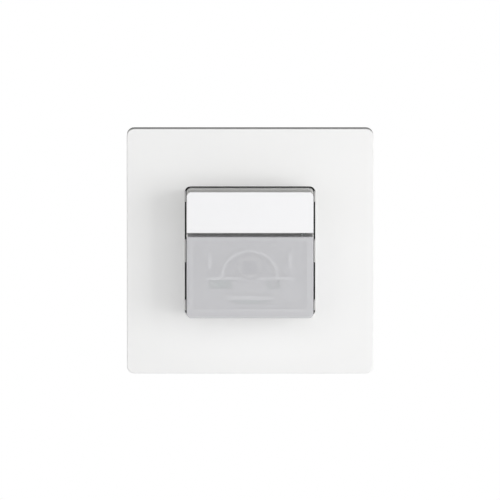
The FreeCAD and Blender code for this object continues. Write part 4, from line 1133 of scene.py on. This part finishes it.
# %% Make the four terminal screws
POLE_CENTRES = (-10.5, -3.5, 3.5, 10.5)
clamp_head = lofted([ring(0.0, 2.2, 0.25), ring(1.6, 2.2, 0.1)])
clamp_screw = joined([
    recessed(clamp_head, 0.8, 1.5, 0.8),
    threaded(1.2, 1.48, 0.5, 1.4, 7),
    lofted([ring(5.2, 1.2), ring(5.75, 1.2), ring(6.2, 0.9, 0.1)])])
moved(turned(clamp_screw, -90, "X"), (POLE_CENTRES[0], 19.2, -21.5))
pole_steps = steps_between([(centre, 0.0) for centre in POLE_CENTRES])
for number, screw in enumerate(repeated(clamp_screw, pole_steps), 1):
    finished(f"terminal_clamp_screw_{number}", [screw], "screw_steel", f"terminal_screw_{number}")

# %% [markdown]
# ## Clamp cages and terminal block
#
# Each terminal is a lift cage: a bent steel box that the screw pulls up, so that it presses the wire on
# the strip. Three small ridges bite into the wire.

# %% Fold the cages
for number, centre in enumerate(POLE_CENTRES, 1):
    node = f"clamp_cage_{number}"
    cage_parts = [softened(node, 0.18)]
    for depth in (17.8, 19.2, 20.6):
        cage_parts.append(bar((centre - 1.6, depth - 0.2, -11.6), (centre + 1.6, depth + 0.2, -11.2), 0.08))
    finished(f"wire_cage_{number}", cage_parts, "clamp_steel", node)

# %% [markdown]
# The block is a grey moulding whose terminals are numbered beside the screw wells. A figure starts as a
# text object with a little depth and becomes a mesh.

# %% Number the terminals
def raised_figure(text, height, place):
    """A raised figure that reads from below the block."""
    clear()
    bpy.ops.object.text_add(location=(0, 0, 0), rotation=(math.pi, 0, 0))
    figure = bpy.context.object
    adjust(figure.data, body=text, size=height * MM, extrude=0.1 * MM, resolution_u=3, align_x="CENTER",
           align_y="CENTER")
    bpy.ops.object.convert(target="MESH")
    bpy.ops.object.transform_apply()
    edit(figure, "SELECT")
    bpy.ops.mesh.remove_doubles(threshold=WELD)
    return moved(figure, place)


block_parts = [softened("terminal_block", 0.15)]
for number, centre in enumerate(POLE_CENTRES, 1):
    block_parts.append(raised_figure(str(number), 2.0, (centre, 23.2, -22.05)))
for middle in (-7.0, 0.0, 7.0):
    block_parts.append(bar((middle - 0.3, 15.6, -22.5), (middle + 0.3, 24.4, -21.9), 0.1))
finished("terminal_moulding", block_parts, "terminal_grey", "terminal_block")

# %% [markdown]
# ## Insert housing
#
# The housing of the insert is a tub of dark thermoset. Low ribs on its sides centre it in the wall box,
# and its back has a sunk panel, which stays bare here.

# %% Mould the insert housing
BOX_RIB = (21.8, 22.7)
BOX_RIB_DEPTHS = (2.6, 21.0)
tub = softened("rear_housing", 0.25)
cut_out(tub, lofted([line(24.65, (17.4, 13.4), 3.5), line(25.5, (17.6, 13.6), 3.7)], (0.0, 5.8)))
tub_parts = [tub]
front, back = BOX_RIB_DEPTHS
inner, outer = BOX_RIB
for middle in (-7.0, 0.0, 7.0):
    left, right = middle - 0.6, middle + 0.6
    for side in (-1, 1):
        tub_parts.append(bar((side * inner, front, left), (side * outer, back, right), 0.3))
    tub_parts.append(bar((left, front, inner), (right, back, outer), 0.3))
finished("insert_tub", tub_parts, "insert_grey", "rear_housing")

# %% [markdown]
# ## The heat sensor
#
# The sensor sits in a small metal can like those of old transistors: a drawn cap on a wider flange with a
# tab that marks its first lead. The can is turned from rings, and a boolean opens the seat of its window.

# %% Draw the can and its leads
SENSOR_HEIGHT = -4.975
PITCH = 2.54
can = lofted([ring(-12.8, 4.1, 0.35), ring(-9.25, 4.1), ring(-9.15, 4.6, 0.08), ring(-8.6, 4.6, 0.08)],
             (0.0, SENSOR_HEIGHT), 48)
cut_out(can, bar((-2.65, -13.5, SENSOR_HEIGHT - 2.3), (2.65, -12.3, SENSOR_HEIGHT + 2.3), 0.02))
tab = turned(bar((-0.45, -9.1, 4.3), (0.45, -8.65, 5.4), 0.1), 45, "Y")
finished("sensor_can", [can, moved(tab, (0, 0, SENSOR_HEIGHT))], "sensor_nickel", "pyro_can")

lead_places = [(-PITCH, SENSOR_HEIGHT), (0.0, SENSOR_HEIGHT - PITCH), (PITCH, SENSOR_HEIGHT)]
leads = [lofted([ring(-8.6, 0.23), ring(-3.8, 0.23, 0.08)], place, 16) for place in lead_places]
finished("sensor_leads", leads, "lead_tin", "pyro_leads")

# %% [markdown]
# ## Components on the power board
#
# A relay is a sealed box with a seam above its tray and a small vent in its top. The film capacitor is a
# box filled with resin. All of them are lofted from outlines along Y.

# %% Make the relay and the film capacitor
BOARD_TOP = 6.6
relay_half = (10.0, 5.1)
seam_half = (9.85, 4.95)
relay = lofted([line(BOARD_TOP, relay_half, 0.4, 0.05), line(8.0, relay_half, 0.4, 0.1),
                line(8.0, seam_half, 0.3), line(8.2, seam_half, 0.3), line(8.2, relay_half, 0.4, 0.1),
                line(19.1, relay_half, 0.4, 0.35), line(19.1, (9.0, 4.1), 0.3, 0.05),
                line(18.9, (8.85, 3.95), 0.25)], (-9.0, 13.0))
vent = lofted([ring(18.7, 0.8), ring(19.05, 0.7, 0.1)], (-16.5, 16.0), 20)
finished("relay_case", [relay, vent], "relay_black", "relay")

film_foot = (2.9, 6.4)
film_half = (3.0, 6.5)
film = lofted([line(BOARD_TOP, film_foot, 0.3), line(7.0, film_foot, 0.3), line(7.0, film_half, 0.4, 0.05),
               line(18.6, film_half, 0.4, 0.35), line(18.6, (2.3, 5.8), 0.3, 0.04),
               line(18.48, (2.2, 5.7), 0.25)], (5.2, 11.6))
finished("film_box", [film], "film_yellow", "film_capacitor")

# %% [markdown]
# The storage capacitor is an aluminium can in a sleeve, with a crimp near its foot and a scored cross on
# top that opens if it overheats.

# %% Make the storage capacitor
storage_middle = (5.2, -0.1)
storage = lofted([ring(BOARD_TOP, 3.9, 0.2), ring(7.8, 4.0, 0.1), ring(8.3, 3.7, 0.15), ring(8.8, 4.0, 0.1),
                  ring(17.8, 4.0, 0.3), ring(18.05, 3.3), ring(17.85, 3.25)], storage_middle)
finished("storage_can", [storage], "sleeve_black", "storage_capacitor")
top_disc = lofted([ring(17.7, 3.3), ring(17.95, 3.3, 0.08)], storage_middle)
x, z = storage_middle
for across, upright in ((2.4, 0.15), (0.15, 2.4)):
    cut_out(top_disc, bar((x - across, 17.85, z - upright), (x + across, 18.2, z + upright), 0.02))
finished("storage_top", [top_disc], "lead_tin")

# %% [markdown]
# The varistor is a disc dipped in epoxy, whose coat runs a little way down its two leads. The fuse
# resistor is a barrel with thicker ends. Both are the same on either side of their middle.

# %% Dip the varistor and turn the resistor
FUSE_DEPTH = 9.2
FUSE_HEIGHT = -4.5


def mirrored(rows):
    """Rings at these depths before the middle, and again behind it in reverse."""
    before = [ring(-depth, *rest) for depth, *rest in rows]
    return before + [ring(depth, *rest) for depth, *rest in rows[::-1]]


disc = turned(lofted(mirrored([(1.7, 2.4), (1.45, 3.1), (1.0, 3.55), (0.35, 3.73)])), -90, "X")
varistor_parts = [moved(disc, (-12.5, 12.0, 3.0))]
for x in (-15.0, -10.0):
    varistor_parts.append(lofted([ring(10.0, 1.0), ring(8.4, 0.65), ring(7.6, 0.36), ring(BOARD_TOP, 0.30)],
                                 (x, 3.0), 20))
finished("varistor_disc", varistor_parts, "varistor_blue", "varistor", flat=50)

barrel = lofted(mirrored([(4.5, 1.2, 0.2), (4.2, 1.65, 0.2), (3.0, 1.68), (2.4, 1.5)]))
moved(turned(barrel, 90, "Z"), (-8.0, FUSE_DEPTH, FUSE_HEIGHT))
finished("resistor_barrel", [barrel], "resistor_green", "fuse_resistor")

# %% [markdown]
# The resistor's wire is bent down into the board at both sides. It is a curve with a round section, which
# becomes a mesh before its place is applied.

# %% Bend the resistor's wire
clear()
bpy.ops.curve.primitive_nurbs_path_add(location=(0, 0, 0))
curve = bpy.context.object.data
curve.splines.clear()
run = curve.splines.new("NURBS")
bends = ((-14.1, 6.4), (-14.1, 7.6), (-14.1, FUSE_DEPTH), (-13.2, FUSE_DEPTH), (-12.0, FUSE_DEPTH),
         (-4.0, FUSE_DEPTH), (-2.8, FUSE_DEPTH), (-1.9, FUSE_DEPTH), (-1.9, 7.6), (-1.9, 6.4))
run.points.add(len(bends) - 1)
for point, (x, y) in zip(run.points, bends):
    point.co = (*spot(x, y, FUSE_HEIGHT), 1.0)
adjust(run, order_u=3, use_endpoint_u=True)
adjust(curve, bevel_depth=0.3 * MM, bevel_resolution=2, use_fill_caps=True, resolution_u=5)
bpy.ops.object.convert(target="MESH")
finished("resistor_wire", [bpy.context.object], "lead_tin")

# %% [markdown]
# ## Solder, chips and legs
#
# A board without solder looks like a drawing. Each soldered lead gets a small concave cone, lofted from
# three rings and copied from place to place.

# %% Solder the joints
HEAD_BACK = -4.6
HEAD_FRONT = -6.2
INSERT_FRONT = 5.0


def solder(name, level, out, places, size):
    """Concave cones on a board's face. `out` is the direction in which they stand."""
    profile = ((-0.05, 1.0), (0.12, 0.72), (0.45, 0.46))
    cone = lofted([ring(level + out * rise, size * painted_shade_share) for rise, painted_shade_share in profile], places[0], 12)
    finished(name, repeated(cone, steps_between(places)), "lead_tin")


solder("pin_solder", HEAD_FRONT, -1,
       [((column - 2) * PITCH, row * PITCH / 2) for column in range(5) for row in (-1, 1)], 0.62)
solder("lead_solder", HEAD_BACK, 1, lead_places, 0.6)
switch_legs = [(x, z) for x in (-2.6, 2.6) for z in (10.6, 15.4)]
trimmer_legs = [(x + dx, z) for x in (-11.5, 11.5) for dx, z in ((-2.2, 12.4), (2.2, 12.4), (0.0, 16.8))]
solder("control_solder", HEAD_BACK, 1, switch_legs + trimmer_legs, 0.6)
bridge_legs = [(x, z) for z in (0.3, 5.7) for x in (-5.6, -0.8)]
relay_legs = [(x, z) for x in (-17.2, -1.2) for z in (9.6, 16.4)]
other_legs = [(5.2, 6.6), (5.2, 16.6), (5.2, -2.0), (5.2, 1.8), (-15.0, 3.0), (-10.0, 3.0), (-14.1, -4.5),
              (-1.9, -4.5)]
solder("power_solder", INSERT_FRONT, -1, relay_legs + other_legs + bridge_legs, 0.85)

# %% [markdown]
# The smallest components are ceramic chips with tinned ends. The ends are a piece of their own, because
# they have another finish.

# %% Place the chips
for board, level, out, places in (
        ("head", HEAD_BACK, 1, [(-4.2, -8.6), (-4.2, -10.4), (-4.2, -12.2), (-10.0, -5.6), (-13.4, -5.6),
                                (3.4, -9.4), (3.4, -11.2), (8.0, -10.2), (10.4, -10.2), (12.2, 4.8),
                                (-12.2, 5.6), (0.0, 7.0)]),
        ("insert", INSERT_FRONT, -1, [(-9.0, -9.0), (-6.0, -9.0), (9.0, -9.0), (12.0, -9.0), (12.0, -5.0),
                                      (12.0, -1.0), (-9.0, 9.5), (9.6, 12.0)])):
    x, z = places[0]
    top = level + out * 0.5
    chip = bar((x - 0.55, level, z - 0.4), (x + 0.55, top, z + 0.4), 0.04)
    end = bar((x - 0.85, level, z - 0.44), (x - 0.5, top, z + 0.44), 0.06)
    ends = joined(repeated(end, [(1.35, 0, 0)]))
    finished(f"{board}_chips", repeated(chip, steps_between(places)), "package_black")
    finished(f"{board}_chip_ends", repeated(ends, steps_between(places)), "lead_tin")

# %% [markdown]
# The bridge stands on four legs, each a short shoulder and a pin. The controller has eight leads on each
# of two sides.

# %% Bend the legs of the bridge and the controller
legs = []
for x in (-5.6, -0.8):
    for level in (-1, 1):
        edge = 3.0 + level * 2.5
        tip = edge + level * 0.45
        legs.append(bar((x - 0.4, 7.7, edge - level * 0.2), (x + 0.4, 7.95, tip), 0.05))
        legs.append(bar((x - 0.25, 6.5, edge + level * 0.2), (x + 0.25, 7.9, tip), 0.05))
finished("bridge_legs", legs, "lead_tin")
lead = bar((-13.2, -4.85, -14.9), (-12.9, HEAD_BACK, -14.3), 0.04)
row = joined(repeated(lead, [(step * 0.8, 0, 0) for step in range(1, 8)]))
finished("controller_leads", repeated(row, [(0, 0, 7.3)]), "lead_tin")

# %% [markdown]
# ## Nothing forgotten
#
# Each measured solid should now have a dressed piece that stands for it. Counting them is a cheap test
# that finds a name that was mistyped.

# %% Count the dressed solids
replaced = {node for piece in bpy.data.objects for node in piece.get("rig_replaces", [])}
print("solids:", len(frame["nodes"]), "without a dressed piece:", sorted(set(frame["nodes"]) - replaced))

# %% [markdown]
# ## Finish
#
# Last, edit mode is left with nothing selected.

# %% Finish
clear()
